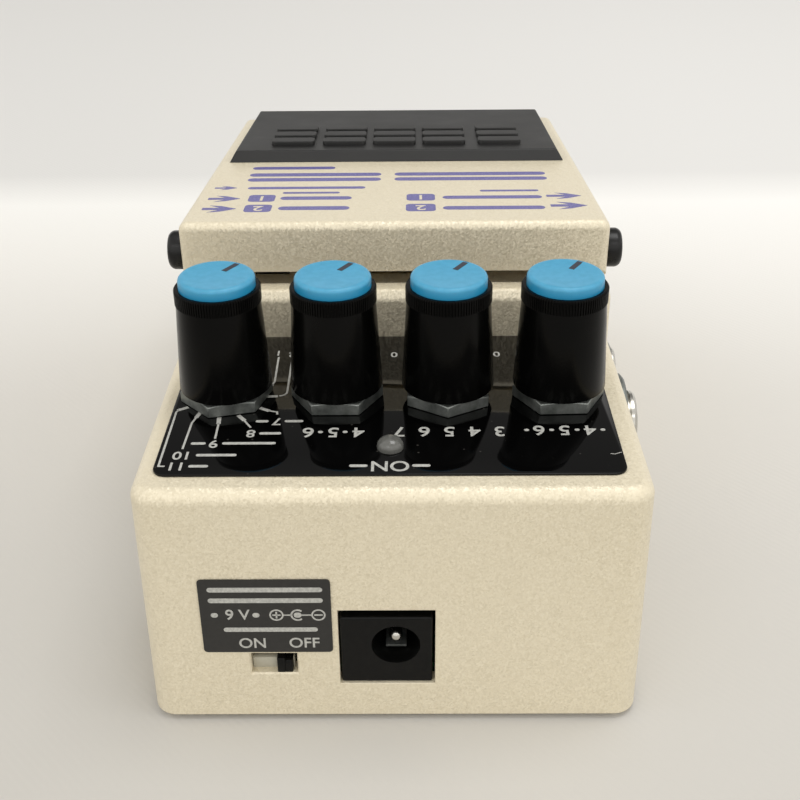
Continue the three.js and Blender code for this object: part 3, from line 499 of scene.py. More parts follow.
def join(whole, extra):
    """Adds one bmesh to another and frees it."""
    mesh = bpy.data.meshes.new("part")
    extra.to_mesh(mesh)
    extra.free()
    whole.from_mesh(mesh)
    bpy.data.meshes.remove(mesh)


rubber, tree, shader, place = start_material("moulded_black_rubber", IOR=1.5)
skin = add(tree, "ShaderNodeTexNoise", {
    "Vector": place, "Scale": per_metre(0.5556), "Detail": 4.0, "Roughness": 0.6,
})
dust = add(tree, "ShaderNodeTexNoise", {"Vector": place, "Scale": per_metre(8.333), "Detail": 3.0})
dust_share = add(tree, "ShaderNodeMapRange", {
    "Value": dust.outputs["Fac"], "From Min": 0.4, "From Max": 0.75, "To Max": 0.5,
})
rubber_tone = add(tree, "ShaderNodeMix", {
    0: dust_share.outputs[0], 6: colour(0x0E0E0D), 7: colour(0x222220),
}, data_type="RGBA")
tree.links.new(rubber_tone.outputs[2], shader.inputs["Base Color"])
shine(tree, shader, dust.outputs["Fac"], 0.42, 0.6)
relief(tree, shader, skin.outputs["Fac"], 0.5, 0.00003)

pad = block_between((-PAD_HALF_WIDTH, PAD_HALF_WIDTH), (PAD_NEAR_Y, PAD_FAR_Y), (0, PAD_THICKNESS))
pad_middle_y = (PAD_NEAR_Y + PAD_FAR_Y) / 2
for vertex in pad.verts:
    vertex.co.x *= treadle_share(vertex.co.y)
    if vertex.co.z > 0:
        vertex.co.x -= math.copysign(PAD_BEVEL, vertex.co.x)
        vertex.co.y -= math.copysign(PAD_BEVEL, vertex.co.y - pad_middle_y)
soft_edges = edges_that(pad, lambda e: (
    e.calc_face_angle_signed() > 0.5 and max(v.co.z for v in e.verts) > 0.3
))
round_edges(pad, soft_edges, 0.25, 3)
block_ends_z = (PAD_THICKNESS - 0.2, PAD_THICKNESS + BLOCK_HEIGHT)
for x0 in (-23.9, -14.1, -4.5, 5.0, 15.6):
    for y_ends in ((27.2, 30.8), (32.3, 35.9), (37.4, 41.0)):
        block = block_between((x0, x0 + BLOCK_LENGTH), y_ends, block_ends_z)
        uprights = edges_that(block, lambda e: abs(e.verts[0].co.z - e.verts[1].co.z) > 0.5)
        round_edges(block, uprights, BLOCK_CORNER, 4)
        rim = edges_that(block, lambda e: (
            all(v.co.z > PAD_THICKNESS for v in e.verts) and e.calc_face_angle() > 0.5
        ))
        round_edges(block, rim, BLOCK_EDGE, 2)
        join(pad, block)
onto_treadle(pad, 0.05)
pad_piece = to_object("treadle_rubber_pad", pad, rubber)
weight_normals(pad_piece)
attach(pad_piece, "treadle_cover")
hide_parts("treadle_pad")


# Hinge bushes: black nylon pins with a domed head, pushed through the treadle's skirts into the
# shell's ears. The head is one fat button with a round edge and a shallow dome that shines.
HINGE_Y = -10.75
HINGE_Z = 50.6
nylon, tree, shader, place = start_material("moulded_black_nylon", IOR=1.4)
flow_marks = add(tree, "ShaderNodeTexNoise", {"Vector": place, "Scale": per_metre(1.429), "Detail": 3.0})
tint(tree, shader, flow_marks.outputs["Fac"], 0x080808, 0x111110)
shine(tree, shader, flow_marks.outputs["Fac"], 0.2, 0.38)
relief(tree, shader, flow_marks.outputs["Fac"], 0.25, 0.00002)


def turned(profile, steps):
    """A round solid about Z, from a profile of radius and height that starts and ends on the axis."""
    bm = bmesh.new()
    line = [bm.verts.new((r, 0, h)) for r, h in profile]
    for a, b in zip(line, line[1:]):
        bm.edges.new((a, b))
    bmesh.ops.spin(
        bm, geom=bm.verts[:] + bm.edges[:], axis=(0, 0, 1), cent=(0, 0, 0), angle=2 * math.pi,
        steps=steps, use_merge=True,
    )
    bmesh.ops.remove_doubles(bm, verts=bm.verts, dist=0.0005)
    bmesh.ops.recalc_face_normals(bm, faces=bm.faces)
    return bm


def arc(cx, cy, radius, start, end, steps):
    return [(
        cx + radius * math.cos(math.radians(start + (end - start) * i / steps)),
        cy + radius * math.sin(math.radians(start + (end - start) * i / steps)),
    ) for i in range(steps + 1)]


for side, name in ((-1, "left"), (1, "right")):
    bm = turned([
        (0, 25.12), (1.5, 25.12), (1.75, 25.4), (1.75, 34.66), (3.1, 34.66),
        *arc(3.05, 34.81, 0.15, -90, 0, 3),
        *arc(2.1, 36.1, 1.1, 0, 66, 7), (1.9, 37.22), (1.1, 37.3), (0, 37.33),
    ], 48)
    sideways = Matrix.Rotation(math.pi / 2 * side, 4, "Y")
    put(bm, Matrix.Translation((0, HINGE_Y, HINGE_Z)) @ sideways)
    bush = to_object(f"hinge_pin_{name}", bm, nylon)
    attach(bush, "hinge_bushes")
    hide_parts(f"hinge_bush_{name}")


# Bottom: a zinc-plated steel plate held by four screws, under a sheet of ribbed black rubber that
# keeps the pedal from sliding. The zinc's crystals give the plate a dull, patchy shine.
def give_finish(node, finish):
    """Puts a finish on a solid of the part that is shown as it is."""
    nodes[node].data.materials.clear()
    nodes[node].data.materials.append(finish)


plated, tree, shader, place = start_material("zinc_plated_steel", Metallic=1.0)
crystals = add(tree, "ShaderNodeTexVoronoi", {"Vector": place, "Scale": per_metre(3.125)})
crystal_tone = add(tree, "ShaderNodeSeparateColor", {"Color": crystals.outputs["Color"]})
tint(tree, shader, crystal_tone.outputs[0], 0x9A9B99, 0xB2B3B0)
shine(tree, shader, crystal_tone.outputs[1], 0.3, 0.45)
for name in ("bottom_plate", *(f"bottom_screw_{i}" for i in range(1, 5)), "thumbscrew_shaft"):
    give_finish(name, plated)

sheet_rubber, tree, shader, place = start_material("ribbed_rubber_sheet", Roughness=0.8, IOR=1.52)
ribs_apart = per_metre(2.856) * math.pi / 10
ribs = add(tree, "ShaderNodeTexWave", {
    "Vector": place, "Scale": ribs_apart, "Distortion": 0.0,
}, bands_direction="Y")
sheet_skin = add(tree, "ShaderNodeTexNoise", {"Vector": place, "Scale": per_metre(0.6667), "Detail": 3.0})
tint(tree, shader, sheet_skin.outputs["Fac"], 0x161616, 0x262625)
relief(tree, shader, ribs.outputs["Fac"], 0.4, 0.0002)
give_finish("bottom_rubber_sheet", sheet_rubber)


# Panel plate: a thin plate of gloss black resin with round corners, glued to the sloped panel round the four
# pot necks and the lamp. Its edge is cut square.
PANEL_TILT = math.atan2(1.01, 44.7)
PANEL_PLACE = Matrix.Translation((0, REAR_TOP_Y, PANEL_Z)) @ Matrix.Rotation(-PANEL_TILT, 4, "X")
PLATE_TOP = 0.35
PLATE_X = (-32.35, 31.7)
PLATE_DEPTH = (4.15, 44.6)
KNOB_XS = (-24.83, -8.39, 8.05, 24.49)
KNOB_DEPTH = 25.3
LAMP_X = -0.3
LAMP_DEPTH = 10.9
PLATE_CORNER = 1.9
GLUE_HEIGHT = 0.05
gloss_resin, tree, shader, place = start_material("gloss_black_resin", IOR=1.35)
specks = add(tree, "ShaderNodeTexVoronoi", {"Vector": place, "Scale": per_metre(2.381)})
speck_share = add(tree, "ShaderNodeMapRange", {
    "Value": specks.outputs["Distance"], "From Min": 0.03, "From Max": 0.08, "To Min": 0.4, "To Max": 0.0,
})
resin_tone = add(tree, "ShaderNodeMix", {
    0: speck_share.outputs[0], 6: colour(0x040404), 7: colour(0x5A5853),
}, data_type="RGBA")
tree.links.new(resin_tone.outputs[2], shader.inputs["Base Color"])
wipe_marks = add(tree, "ShaderNodeTexNoise", {
    "Vector": place, "Scale": per_metre(16.667), "Detail": 4.0, "Roughness": 0.6,
})
shine(tree, shader, wipe_marks.outputs["Fac"], 0.03, 0.08, 0.35, 0.7)
waves = add(tree, "ShaderNodeTexNoise", {"Vector": place, "Scale": per_metre(7.143), "Detail": 1.0})
relief(tree, shader, waves.outputs["Fac"], 0.2, 0.00006)

bm = bmesh.new()
add_flat(bm, rounded(*PLATE_X, *PLATE_DEPTH, PLATE_CORNER, 8), PLATE_TOP - GLUE_HEIGHT)
bmesh.ops.recalc_face_normals(bm, faces=bm.faces)
rim = edges_that(bm, lambda e: e.calc_face_angle() > 1 and all(v.co.z > 0.1 for v in e.verts))
round_edges(bm, rim, 0.1, 2)
put(bm, PANEL_PLACE @ Matrix.Translation((0, 0, GLUE_HEIGHT)))
plate = to_object("panel_plate", bm, gloss_resin)
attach(plate, "housing")
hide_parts("panel_label")


# Print on the plate: one pass of pale grey screen ink, 0.04 mm thick. Thin rays lead from the first
# knob's steps to their numbers, and plain dial numbers stand at the other knobs and the lamp.
pale_ink, tree, shader, place = start_material("pale_grey_screen_ink", Roughness=0.5)
ink_grain = add(tree, "ShaderNodeTexNoise", {"Vector": place, "Scale": per_metre(0.3846), "Detail": 2.0})
tint(tree, shader, ink_grain.outputs["Fac"], 0xA7A7A2, 0xBFBFB9, 0.35, 0.65)


def stroke(points, width):
    """The outline of a drawn line, mitred at its bends."""
    spots = [Vector(point) for point in points]
    left, right = [], []
    for i, spot in enumerate(spots):
        before = (spot - spots[i - 1]).normalized() if i else None
        after = (spots[i + 1] - spot).normalized() if i + 1 < len(spots) else None
        along = ((before or after) + (after or before)).normalized()
        side = Vector((-along.y, along.x))
        reach = width / 2 / max(0.5, along.dot(before or after))
        left.append(spot + side * reach)
        right.append(spot - side * reach)
    return [tuple(point) for point in left + right[::-1]]


STEP_MARK_WIDTH = 0.62
RAY_WIDTH = 0.3
SCRATCH_WIDTH = 0.12
panel_print = bmesh.new()
for points in (
    [(-30.15, 22.0), (-31.6, 21.1)],
    [(-28.1, 20.6), (-28.55, 19.0)],
    [(-25.2, 19.0), (-25.05, 17.2)],
    [(-22.5, 19.6), (-21.4, 18.1)],
    [(-19.6, 21.7), (-18.1, 20.8)],
    [(-19.5, 25.0), (-17.3, 25.1)],
    [(-19.1, 27.6), (-18.45, 28.7)],
):
    add_flat(panel_print, stroke(points, STEP_MARK_WIDTH), INK_HEIGHT)
turn_out = arc(-17.1, 26.3, 1.1, -90, 0, 4)
for points in (
    [(-31.45, 21.2), (-31.7, 20.6), (-31.67, 6.28), (-30.8, 6.27)],
    [(-28.5, 19.2), (-28.93, 17.5), (-29.12, 10.6)],
    [(-25.05, 17.4), (-24.97, 13.25)],
    [(-21.5, 18.2), (-20.3, 16.2)],
    [(-18.3, 20.9), (-16.95, 20.5), (-16.85, 19.8)],
    [*turn_out, (-16.15, 36.9)],
    [(-18.5, 28.6), (-18.2, 29.6), (-18.35, 37.5)],
):
    add_flat(panel_print, stroke(points, RAY_WIDTH), INK_HEIGHT)
for text, x, depth, height in (
    ("11", -29.3, 6.3, 1.9), ("10", -28.9, 9.0, 1.9), ("9", -25.0, 11.95, 1.9), ("8", -20.1, 14.65, 1.9),
    ("7", -16.7, 17.9, 1.9), ("2", -16.3, 38.3, 1.6), ("1", -18.5, 38.9, 1.6), ("6", -12.0, 14.9, 2.5),
    ("5", -8.45, 14.9, 2.5), ("4", -4.9, 14.9, 2.5), ("7", 0.9, 15.0, 2.5), ("6", 4.45, 15.0, 2.5),
    ("5", 8.0, 15.0, 2.5), ("4", 11.55, 15.0, 2.5), ("3", 15.1, 15.0, 2.5), ("6", 20.7, 15.2, 2.5),
    ("5", 24.3, 15.2, 2.5), ("4", 27.9, 15.2, 2.5), ("ON", -0.3, 6.2, 2.4), ("0", -0.05, 38.2, 1.6),
    ("0", 16.2, 38.2, 1.6), ("10", 13.9, 41.2, 1.6),
):
    add_digits(panel_print, text, x, depth, height, INK_HEIGHT)
for x0, x1, y0, y1 in (
    (-27.6, -24.9, 5.95, 6.55), (-27.0, -21.4, 8.7, 9.3), (-28.2, -26.1, 11.7, 12.3),
    (-23.8, -16.3, 11.7, 12.3), (-18.9, -15.8, 14.3, 14.9), (-19.8, -17.9, 17.6, 18.2),
    (-15.6, -12.9, 17.6, 18.2), (-5.8, -3.3, 5.9, 6.5), (2.7, 5.2, 5.9, 6.5),
    (-10.6, -9.9, 14.6, 15.2), (-7.1, -6.4, 14.6, 15.2), (18.6, 19.3, 14.9, 15.5),
    (22.15, 22.85, 14.9, 15.5), (25.75, 26.45, 14.9, 15.5), (29.4, 30.1, 14.9, 15.5),
):
    add_band(panel_print, x0, x1, y0, y1, INK_HEIGHT)
# A small scratch near the plate's corner.
scratch = [(29.9, 8.95), (30.5, 8.85), (30.9, 9.05), (31.45, 9.3)]
add_flat(panel_print, stroke(scratch, SCRATCH_WIDTH), INK_HEIGHT)
put(panel_print, PANEL_PLACE @ Matrix.Translation((0, 0, PLATE_TOP - 0.005)))
plate_print = to_object("plate_print", panel_print, pale_ink)
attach(plate_print, "housing")


# Pots and their nuts: each pot's threaded neck comes up through the panel, and a thin hex nut of
# zinc-plated brass, dull with handling, clamps it. The nut's top corners are turned down.
NUT_FLATS = 11.9
NUT_BASE = 0.4
NUT_TOP = 2.4
NUT_TURNS = (-16, 30, -1, -28)
NUT_BORE_RADIUS = 3.72
NUT_CHAMFER = 0.3
dull_zinc, tree, shader, place = start_material("dull_zinc_plate", Metallic=0.85)
smudges = add(tree, "ShaderNodeTexNoise", {
    "Vector": place, "Scale": per_metre(2.857), "Detail": 5.0, "Roughness": 0.65,
})
tint(tree, shader, smudges.outputs["Fac"], 0x6A6E6B, 0x9A9E9A, 0.35, 0.68)
shine(tree, shader, smudges.outputs["Fac"], 0.35, 0.6)
relief(tree, shader, smudges.outputs["Fac"], 0.4, 0.00004)


def at_knob(index, turn=0.0):
    place_on_panel = Matrix.Translation((KNOB_XS[index], KNOB_DEPTH, 0))
    return PANEL_PLACE @ place_on_panel @ Matrix.Rotation(turn, 4, "Z")


def hex_nut(flats, base, top, bore, chamfer):
    """A hex nut about Z, bored through, with its top corners turned to a cone."""
    corner = flats / math.sqrt(3)
    bm = bmesh.new()
    bmesh.ops.create_cone(bm, cap_ends=True, segments=6, radius1=corner, radius2=corner, depth=top - base)
    bmesh.ops.translate(bm, vec=(0, 0, (top + base) / 2), verts=bm.verts)
    cone = turned([
        (0, base - 1), (corner + 1, base - 1), (corner + 1, top - chamfer - 0.4), (flats / 2 - 0.15, top),
        (0, top),
    ], 48)
    bm = combined(bm, cone, "INTERSECT")
    drill = turned([(0, base - 1), (bore, base - 1), (bore, top + 1), (0, top + 1)], 32)
    return combined(bm, drill, "DIFFERENCE")


for i, degrees in enumerate(NUT_TURNS):
    bm = hex_nut(NUT_FLATS, NUT_BASE, NUT_TOP, NUT_BORE_RADIUS, NUT_CHAMFER)
    put(bm, at_knob(i, math.radians(degrees)))
    nut = to_object(f"clamping_nut_{i + 1}", bm, dull_zinc, smooth_angle=20)
    soften = nut.modifiers.new("worn_edges", "BEVEL")
    soften.width = 0.00012
    soften.segments = 2
    soften.limit_method = "ANGLE"
    soften.angle_limit = math.radians(24)
    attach(nut, "housing")
    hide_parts(f"pot_nut_{i + 1}")
    give_finish(f"pot_{i + 1}", dull_zinc)
    give_finish(f"pot_shaft_{i + 1}", dull_zinc)


# Knobs: moulded in black phenolic resin, tapered, with a fine straight knurl round the collar. A
# blue nylon insert is pressed into the top, with a dark line that points where the knob is set.
KNOB_FOOT = 2.55
COLLAR_FOOT = 16.14
COLLAR_TOP = 18.44
CAP_TOP = 20.07
FOOT_RADIUS = 6.8
FOOT_EDGE = 0.22
NECK_RADIUS = 6.05
COLLAR_RADIUS = 6.18
COLLAR_EDGE = 0.25
CAP_RADIUS = 5.48
CAP_EDGE = 0.6
RIBS = 96
RIB_DEPTH = 0.17
POINTER_TURN = math.radians(-32)
POINTER_HALF_WIDTH = 0.42
POINTER_ENDS = (1.7, CAP_RADIUS - 0.5)
phenolic, tree, shader, place = start_material("moulded_phenolic", IOR=1.2)
flow = add(tree, "ShaderNodeTexNoise", {
    "Vector": place, "Scale": per_metre(4.545), "Detail": 4.0, "Roughness": 0.55,
})
tint(tree, shader, flow.outputs["Fac"], 0x030303, 0x090908)
shine(tree, shader, flow.outputs["Fac"], 0.16, 0.28, 0.3, 0.7)
fine_skin = add(tree, "ShaderNodeTexNoise", {"Vector": place, "Scale": per_metre(0.4545), "Detail": 2.0})
relief(tree, shader, fine_skin.outputs["Fac"], 0.3, 0.000015)

# The insert's side is painted a deeper, darker blue than its top, as painted shade on the side that faces
# away from the overhead light; the change runs between these two heights in metres.
INSERT_SIDE_Z = 0.0581
INSERT_TOP_Z = 0.05915
blue_nylon, tree, shader, place = start_material(
    "moulded_blue_nylon", Roughness=0.4, IOR=1.5, Subsurface_Weight=0.08, Subsurface_Scale=0.001,
)
blue_mottle = add(tree, "ShaderNodeTexNoise", {"Vector": place, "Scale": per_metre(1.111), "Detail": 3.0})
blue_share = add(tree, "ShaderNodeMapRange", {
    "Value": blue_mottle.outputs["Fac"], "From Min": 0.35, "From Max": 0.65,
})
blue_tone = add(tree, "ShaderNodeMix", {
    0: blue_share.outputs[0], 6: colour(0x479ABD), 7: colour(0x4FA2C5),
}, data_type="RGBA")
insert_place = add(tree, "ShaderNodeSeparateXYZ", {"Vector": place})
# Painted shade: below the first height the insert's side takes a darker, deeper blue than its top.
painted_side_shade = add(tree, "ShaderNodeMapRange", {
    "Value": insert_place.outputs["Z"], "From Min": INSERT_SIDE_Z, "From Max": INSERT_TOP_Z,
})
insert_tone = add(tree, "ShaderNodeMix", {
    0: painted_side_shade.outputs[0], 6: colour(0x2590BD), 7: blue_tone.outputs[2],
}, data_type="RGBA")
tree.links.new(insert_tone.outputs[2], shader.inputs["Base Color"])
relief(tree, shader, blue_mottle.outputs["Fac"], 0.25, 0.00002)

pointer_paint, tree, shader, place = start_material("dark_grey_filled_line", Roughness=0.6)
fill_grain = add(tree, "ShaderNodeTexNoise", {"Vector": place, "Scale": per_metre(0.3333), "Detail": 2.0})
tint(tree, shader, fill_grain.outputs["Fac"], 0x2B2B34, 0x393A45)


def knurled(radius, rib_depth, ribs, foot, steps):
    """A disc with a straight knurl, drawn up by steps of lift and shrink, and its last top face."""
    bm = bmesh.new()
    outline = []
    for k in range(ribs * 4):
        turn = 2 * math.pi * k / (ribs * 4)
        reach = radius if k % 4 in (0, 1) else radius - rib_depth
        outline.append(bm.verts.new((reach * math.cos(turn), reach * math.sin(turn), foot)))
    top = bm.faces.new(outline)
    for lift, shrink in steps:
        drawn = bmesh.ops.extrude_face_region(bm, geom=[top])["geom"]
        top = next(part for part in drawn if isinstance(part, bmesh.types.BMFace))
        bmesh.ops.translate(bm, vec=(0, 0, lift), verts=top.verts)
        bmesh.ops.scale(bm, vec=(shrink, shrink, 1), verts=top.verts)
    return bm, top


for i in range(4):
    body = turned([
        (0, COLLAR_FOOT - 1.2), (4.65, COLLAR_FOOT - 1.2), (5.62, KNOB_FOOT + 0.05),
        (FOOT_RADIUS - FOOT_EDGE, KNOB_FOOT),
        *arc(FOOT_RADIUS - FOOT_EDGE, KNOB_FOOT + FOOT_EDGE, FOOT_EDGE, -90, 0, 3),
        (NECK_RADIUS, COLLAR_FOOT - 0.02), (NECK_RADIUS - 0.3, COLLAR_FOOT + 0.3),
        (NECK_RADIUS - 0.3, COLLAR_TOP - 0.5), (0, COLLAR_TOP - 0.5),
    ], 72)
    collar = turned([
        (0, COLLAR_TOP - 0.7), (CAP_RADIUS + 0.05, COLLAR_TOP - 0.7), (CAP_RADIUS + 0.08, COLLAR_TOP),
        (COLLAR_RADIUS - 0.2, COLLAR_TOP), (COLLAR_RADIUS - 0.2, COLLAR_TOP - 0.02),
        (COLLAR_RADIUS - 0.25, COLLAR_FOOT + 0.1), (0, COLLAR_FOOT + 0.1),
    ], 96)
    ring, lid = knurled(COLLAR_RADIUS, RIB_DEPTH, RIBS, COLLAR_FOOT, (
        (COLLAR_TOP - COLLAR_FOOT - COLLAR_EDGE, 1.0), (COLLAR_EDGE, (COLLAR_RADIUS - 0.2) / COLLAR_RADIUS),
    ))
    bmesh.ops.delete(ring, geom=[lid], context="FACES_ONLY")
    bmesh.ops.recalc_face_normals(ring, faces=ring.faces)
    join(body, collar)
    join(body, ring)
    put(body, at_knob(i))
    knob = to_object(f"knob_body_{i + 1}", body, phenolic, smooth_angle=28)
    cap = turned([
        (0, COLLAR_TOP - 0.6), (CAP_RADIUS, COLLAR_TOP - 0.6), (CAP_RADIUS, CAP_TOP - 0.75),
        *arc(CAP_RADIUS - CAP_EDGE, CAP_TOP - 0.65, CAP_EDGE, 8, 78, 6), (CAP_RADIUS - 0.7, CAP_TOP - 0.04),
        (CAP_RADIUS - 1.0, CAP_TOP - 0.08), (0, CAP_TOP - 0.08),
    ], 96)
    put(cap, at_knob(i))
    insert = to_object(f"knob_insert_{i + 1}", cap, blue_nylon)
    line = bmesh.new()
    near, far = POINTER_ENDS
    add_flat(line, [
        (-POINTER_HALF_WIDTH, near), (POINTER_HALF_WIDTH, near), (POINTER_HALF_WIDTH, far),
        (-POINTER_HALF_WIDTH, far),
    ], 0.05)
    put(line, at_knob(i, POINTER_TURN) @ Matrix.Translation((0, 0, CAP_TOP - 0.1)))
    pointer = to_object(f"knob_pointer_{i + 1}", line, pointer_paint)
    for made, slot in (
        (knob, "plastic_black_gloss"), (insert, "plastic_blue"), (pointer, "plastic_black_matte"),
    ):
        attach(made, f"knob_assembly_{i + 1}")
    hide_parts(f"knob_{i + 1}")
    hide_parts(f"knob_cap_{i + 1}")


# Lamp: a light-emitting diode in clear cast epoxy, a low dome that stands through the plate. Unlit,
# it shows the dull cup inside, which the epoxy's grey tint stands for.
LAMP_RADIUS = 1.88
LAMP_WALL_TOP = 0.6
LAMP_DOME_HEIGHT = 1.4
clear_epoxy, tree, shader, place = start_material("cast_clear_epoxy", IOR=1.54, Transmission_Weight=0.4)
haze = add(tree, "ShaderNodeTexNoise", {"Vector": place, "Scale": per_metre(1.111), "Detail": 3.0})
tint(tree, shader, haze.outputs["Fac"], 0x6C6C68, 0x84847F)
shine(tree, shader, haze.outputs["Fac"], 0.04, 0.1)

dome = []
for degrees in range(10, 90, 10):
    turn = math.radians(degrees)
    dome.append((LAMP_RADIUS * math.cos(turn), LAMP_WALL_TOP + LAMP_DOME_HEIGHT * math.sin(turn)))
bm = turned([
    (0, -4.0), (2.3, -4.0), (2.3, -2.75), (LAMP_RADIUS, -2.7), (LAMP_RADIUS, LAMP_WALL_TOP), *dome,
    (0, LAMP_WALL_TOP + LAMP_DOME_HEIGHT),
], 40)
put(bm, PANEL_PLACE @ Matrix.Translation((LAMP_X, LAMP_DEPTH, 0)))
lamp = to_object("lamp_dome", bm, clear_epoxy)
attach(lamp, "housing")
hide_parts("led")


# Power inlet: a block moulded in black polycarbonate behind the opening of the leaning face, a
# little lower than its top edge, with a round well and a bright centre pin.
INLET_X = (-7.55, 5.5)
INLET_Z = (6.97, 19.1)
INLET_FACE_Y = -65.35
INLET_BACK_Y = -50.9
WELL_X = 0.3
WELL_Z = 14.1
WELL_RADIUS = 3.4
WELL_DEPTH = 9.4
WELL_PLACE = Matrix.Translation((WELL_X, INLET_FACE_Y, WELL_Z)) @ Matrix.Rotation(-math.pi / 2, 4, "X")
polycarbonate, tree, shader, place = start_material("moulded_black_polycarbonate", Roughness=0.36, IOR=1.26)
spark = add(tree, "ShaderNodeTexNoise", {
    "Vector": place, "Scale": per_metre(0.625), "Detail": 4.0, "Roughness": 0.6,
})
tint(tree, shader, spark.outputs["Fac"], 0x060606, 0x0D0D0C, 0.3, 0.72)
relief(tree, shader, spark.outputs["Fac"], 0.5, 0.00003)

block = block_between(INLET_X, (INLET_FACE_Y, INLET_BACK_Y), INLET_Z)
front = edges_that(block, lambda e: any(v.co.y < -60 for v in e.verts))
round_edges(block, front, 0.35, 3)
well = turned([
    (0, -1), (WELL_RADIUS + 0.25, -1), (WELL_RADIUS, 0.25), (WELL_RADIUS, WELL_DEPTH), (0, WELL_DEPTH),
], 48)
put(well, WELL_PLACE)
inlet = to_object("power_inlet_block", combined(block, well, "DIFFERENCE"), polycarbonate)
weight_normals(inlet)
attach(inlet, "housing")
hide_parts("dc_jack")

# The inlet's contacts: a nickel-plated centre pin with a round end, and the dull steel leaf of the
# outer contact low in the well.
PIN_RADIUS = 0.95
PIN_SHOULDER = 2.1
PIN_NOSE = 0.85
bright_nickel, tree, shader, place = start_material("bright_nickel_plate", Metallic=1.0)
film_marks = add(tree, "ShaderNodeTexNoise", {
    "Vector": place, "Scale": per_metre(3.846), "Detail": 5.0, "Roughness": 0.6,
})
tint(tree, shader, film_marks.outputs["Fac"], 0xB9B6AE, 0xD4D2CB)
shine(tree, shader, film_marks.outputs["Fac"], 0.12, 0.34, 0.3, 0.7)

nose = []
for degrees in range(15, 90, 15):
    turn = math.radians(degrees)
    nose.append((PIN_RADIUS * math.cos(turn), PIN_SHOULDER - PIN_NOSE * math.sin(turn)))
pin = turned([
    (0, WELL_DEPTH - 0.1), (PIN_RADIUS, WELL_DEPTH - 0.1), (PIN_RADIUS, PIN_SHOULDER), *nose,
    (0, PIN_SHOULDER - PIN_NOSE),
], 24)
put(pin, WELL_PLACE)
centre_pin = to_object("inlet_centre_pin", pin, bright_nickel)
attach(centre_pin, "housing")
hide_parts("dc_jack_pin")

leaf = block_between((WELL_X - 1.5, WELL_X + 1.5), (-62.6, -57.5), (WELL_Z - 2.95, WELL_Z - 2.55))
round_edges(leaf, edges_that(leaf, lambda e: e.calc_face_angle() > 1), 0.12, 2)
contact_leaf = to_object("inlet_contact_leaf", leaf, dull_zinc)
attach(contact_leaf, "housing")


# Slide switch: a small black moulded body behind its slot, with an ivory acetal slider plate and a
# black nub of two lobes that stands out to the face.
NUB_BACK_Y = -61.9
ivory_plastic, tree, shader, place = start_material("moulded_ivory_acetal", Roughness=0.45, IOR=1.48)
ivory_mottle = add(tree, "ShaderNodeTexNoise", {"Vector": place, "Scale": per_metre(1.25), "Detail": 3.0})
tint(tree, shader, ivory_mottle.outputs["Fac"], 0xA8A494, 0xC2BEAE)

nub = bmesh.new()
for x_ends, face_y, z_ends in (
    ((-16.75, -15.55), -65.35, (8.5, 11.5)),
    ((-15.65, -14.5), -65.3, (8.6, 11.1)),
    ((-16.75, -14.5), -64.9, (8.7, 10.9)),
):
    lobe = block_between(x_ends, (face_y, NUB_BACK_Y), z_ends)
    round_edges(lobe, edges_that(lobe, lambda e: e.calc_face_angle() > 1), 0.22, 3)
    join(nub, lobe)
slider_nub = to_object("slider_nub", nub, polycarbonate)
slider_plate = block_between((-20.35, -14.3), (-64.3, -63.1), (8.4, 10.8))
round_edges(slider_plate, edges_that(slider_plate, lambda e: e.calc_face_angle() > 1), 0.15, 2)
plate_of_slider = to_object("slider_plate", slider_plate, ivory_plastic)
for made, slot in ((slider_nub, "plastic_black_matte"), (plate_of_slider, "lamp_clear")):
    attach(made, "slide_lever")
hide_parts("slide_switch_lever")
give_finish("slide_switch", polycarbonate)


# Label on the inlet's face: a dark grey printed film over the slide switch. It shows the plug's
# polarity, the switch's two settings, and plain stripes.
FACE_LEAN = math.atan2(REAR_TOP_Y - REAR_Y, PANEL_Z - BASE_Z)
FACE_PLACE = Matrix.Translation((0, REAR_Y, BASE_Z)) @ Matrix.Rotation(math.pi / 2 - FACE_LEAN, 4, "X")
FILM_TOP = 0.17
FILM_INK = 0.01
POLARITY_Z = 19.7
printed_film, tree, shader, place = start_material("dark_grey_printed_film", Roughness=0.55, IOR=1.48)
film_grain = add(tree, "ShaderNodeTexNoise", {"Vector": place, "Scale": per_metre(0.6667), "Detail": 4.0})
tint(tree, shader, film_grain.outputs["Fac"], 0x201F1D, 0x2C2B29)
relief(tree, shader, film_grain.outputs["Fac"], 0.3, 0.00002)


def up_the_face(z):
    return (z - BASE_Z) / math.cos(FACE_LEAN)


film = bmesh.new()
add_flat(film, rounded(-26.88, -8.6, up_the_face(13.03), up_the_face(25.8), 0.55, 5), FILM_TOP)
bmesh.ops.recalc_face_normals(film, faces=film.faces)
put(film, FACE_PLACE)
face_label = to_object("face_label", film, printed_film)
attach(face_label, "housing")
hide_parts("rear_label")

face_print = bmesh.new()
sign_y = up_the_face(POLARITY_Z)
for x in (-16.25, -10.4):
    outer, inner = [
        [face_print.verts.new((*spot, 0)) for spot in arc(x, sign_y, radius, 0, 350, 35)]
        for radius in (1.0, 0.76)
    ]
    for k in range(36):
        face_print.faces.new((outer[k], outer[(k + 1) % 36], inner[(k + 1) % 36], inner[k]))
    add_flat(face_print, stroke([(x - 0.58, sign_y), (x + 0.58, sign_y)], 0.24), FILM_INK)
plus_upright = [(-16.25, up_the_face(POLARITY_Z - 0.58)), (-16.25, up_the_face(POLARITY_Z + 0.58))]
add_flat(face_print, stroke(plus_upright, 0.24), FILM_INK)
add_flat(face_print, stroke(arc(-13.3, sign_y, 0.88, 50, 310, 13), 0.26), FILM_INK)
add_flat(face_print, rounded(-13.85, -12.75, sign_y - 0.45, sign_y + 0.45, 0.44, 5), FILM_INK)
for x0, x1 in ((-15.25, -14.1), (-12.8, -11.4)):
    add_flat(face_print, stroke([(x0, sign_y), (x1, sign_y)], 0.22), FILM_INK)
